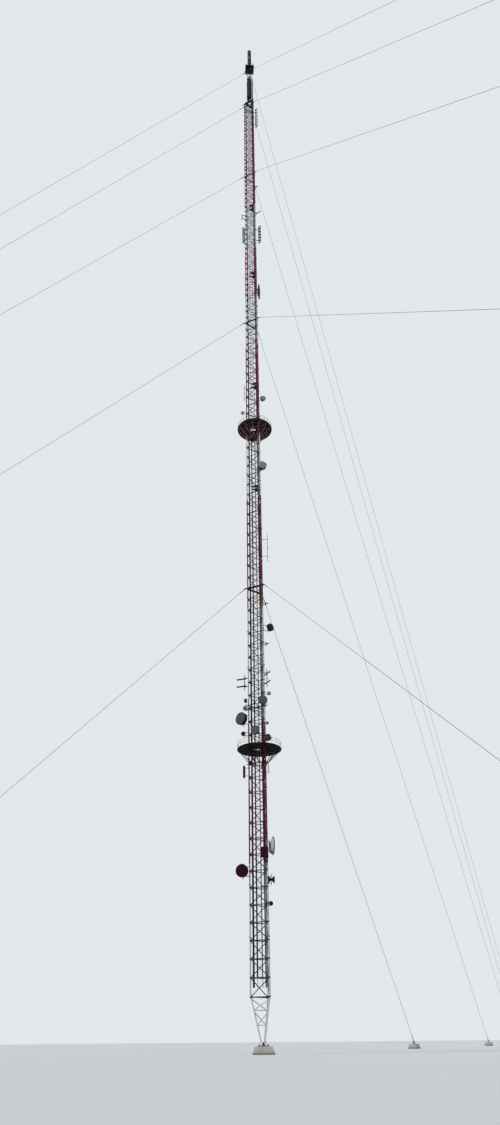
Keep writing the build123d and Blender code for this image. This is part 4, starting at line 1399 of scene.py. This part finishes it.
class MAST_OT_antennas(bpy.types.Operator):
    """Drums, dishes, horns, panels and dipoles on their pipes"""
    bl_idname = "mast.antennas"
    bl_label = "Antennas"

    def execute(self, context):
        covers = {}
        carriers = {}
        kits = [(node, drum_antenna, row) for node, *row in DRUMS]
        kits.append(("drums_platform", rail_drum, RAIL_DRUM))
        kits += [("dish_antennas", open_dish, row) for row in OPEN_DISHES]
        kits += [("dish_antennas", domed_dish, DOMED_DISH), ("dish_antennas", horn_pair, HORNS)]
        kits += [("panel_antennas", flat_panel, row) for row in PANELS]
        kits += [(node, dipole_stack, row) for node, *row in STACKS]
        for node, build, row in kits:
            pieces, parts = build(*row)
            carriers.setdefault(node, []).extend(pieces)
            for finish, part in parts:
                covers.setdefault((node, finish), []).append(part)
        for (node, finish), group in covers.items():
            slot = "panel" if node == "panel_antennas" else "drum"
            dress(join(f"{node}_{finish}", group), finish, slot, angle=ANTENNA_ANGLE)
        for node, group in carriers.items():
            dress(join(f"{node}_pipes", group), "antenna_tube", "antenna", node,
                  angle=ANTENNA_ANGLE)
        return {"FINISHED"}


class MAST_PT_panel(bpy.types.Panel):
    """Buttons and settings of the radio mast"""
    bl_label = "Radio mast"
    bl_idname = "MAST_PT_panel"
    bl_space_type = "VIEW_3D"
    bl_region_type = "UI"
    bl_category = "Radio mast"

    def draw(self, context):
        for group in (context.scene.mast_sizes, context.scene.mast_colours):
            for name in group.bl_rna.properties.keys():
                if name not in ("rna_type", "name"):
                    self.layout.prop(group, name)
        for operator in OPERATORS:
            self.layout.operator(operator.bl_idname)


OPERATORS = (MAST_OT_stage, MAST_OT_legs, MAST_OT_sides, MAST_OT_plan_braces, MAST_OT_foot,
             MAST_OT_guys, MAST_OT_anchors, MAST_OT_platforms, MAST_OT_slim_top, MAST_OT_crown,
             MAST_OT_ladder, MAST_OT_feeders, MAST_OT_mount_ring, MAST_OT_antennas)
CLASSES = (MastSizes, MastColours) + OPERATORS + (MAST_PT_panel,)


def register():
    """Register the classes and the settings."""
    for item in CLASSES:
        bpy.utils.register_class(item)
    bpy.types.Scene.mast_sizes = bpy.props.PointerProperty(type=MastSizes)
    bpy.types.Scene.mast_colours = bpy.props.PointerProperty(type=MastColours)


def unregister():
    """Take the settings and classes away."""
    del bpy.types.Scene.mast_colours
    del bpy.types.Scene.mast_sizes
    for item in reversed(CLASSES):
        bpy.utils.unregister_class(item)


def main():
    """Build the whole mast."""
    register()
    make_finishes()
    for operator in OPERATORS:
        group, name = operator.bl_idname.split(".")
        getattr(getattr(bpy.ops, group), name)()


if __name__ == "__main__":
    main()
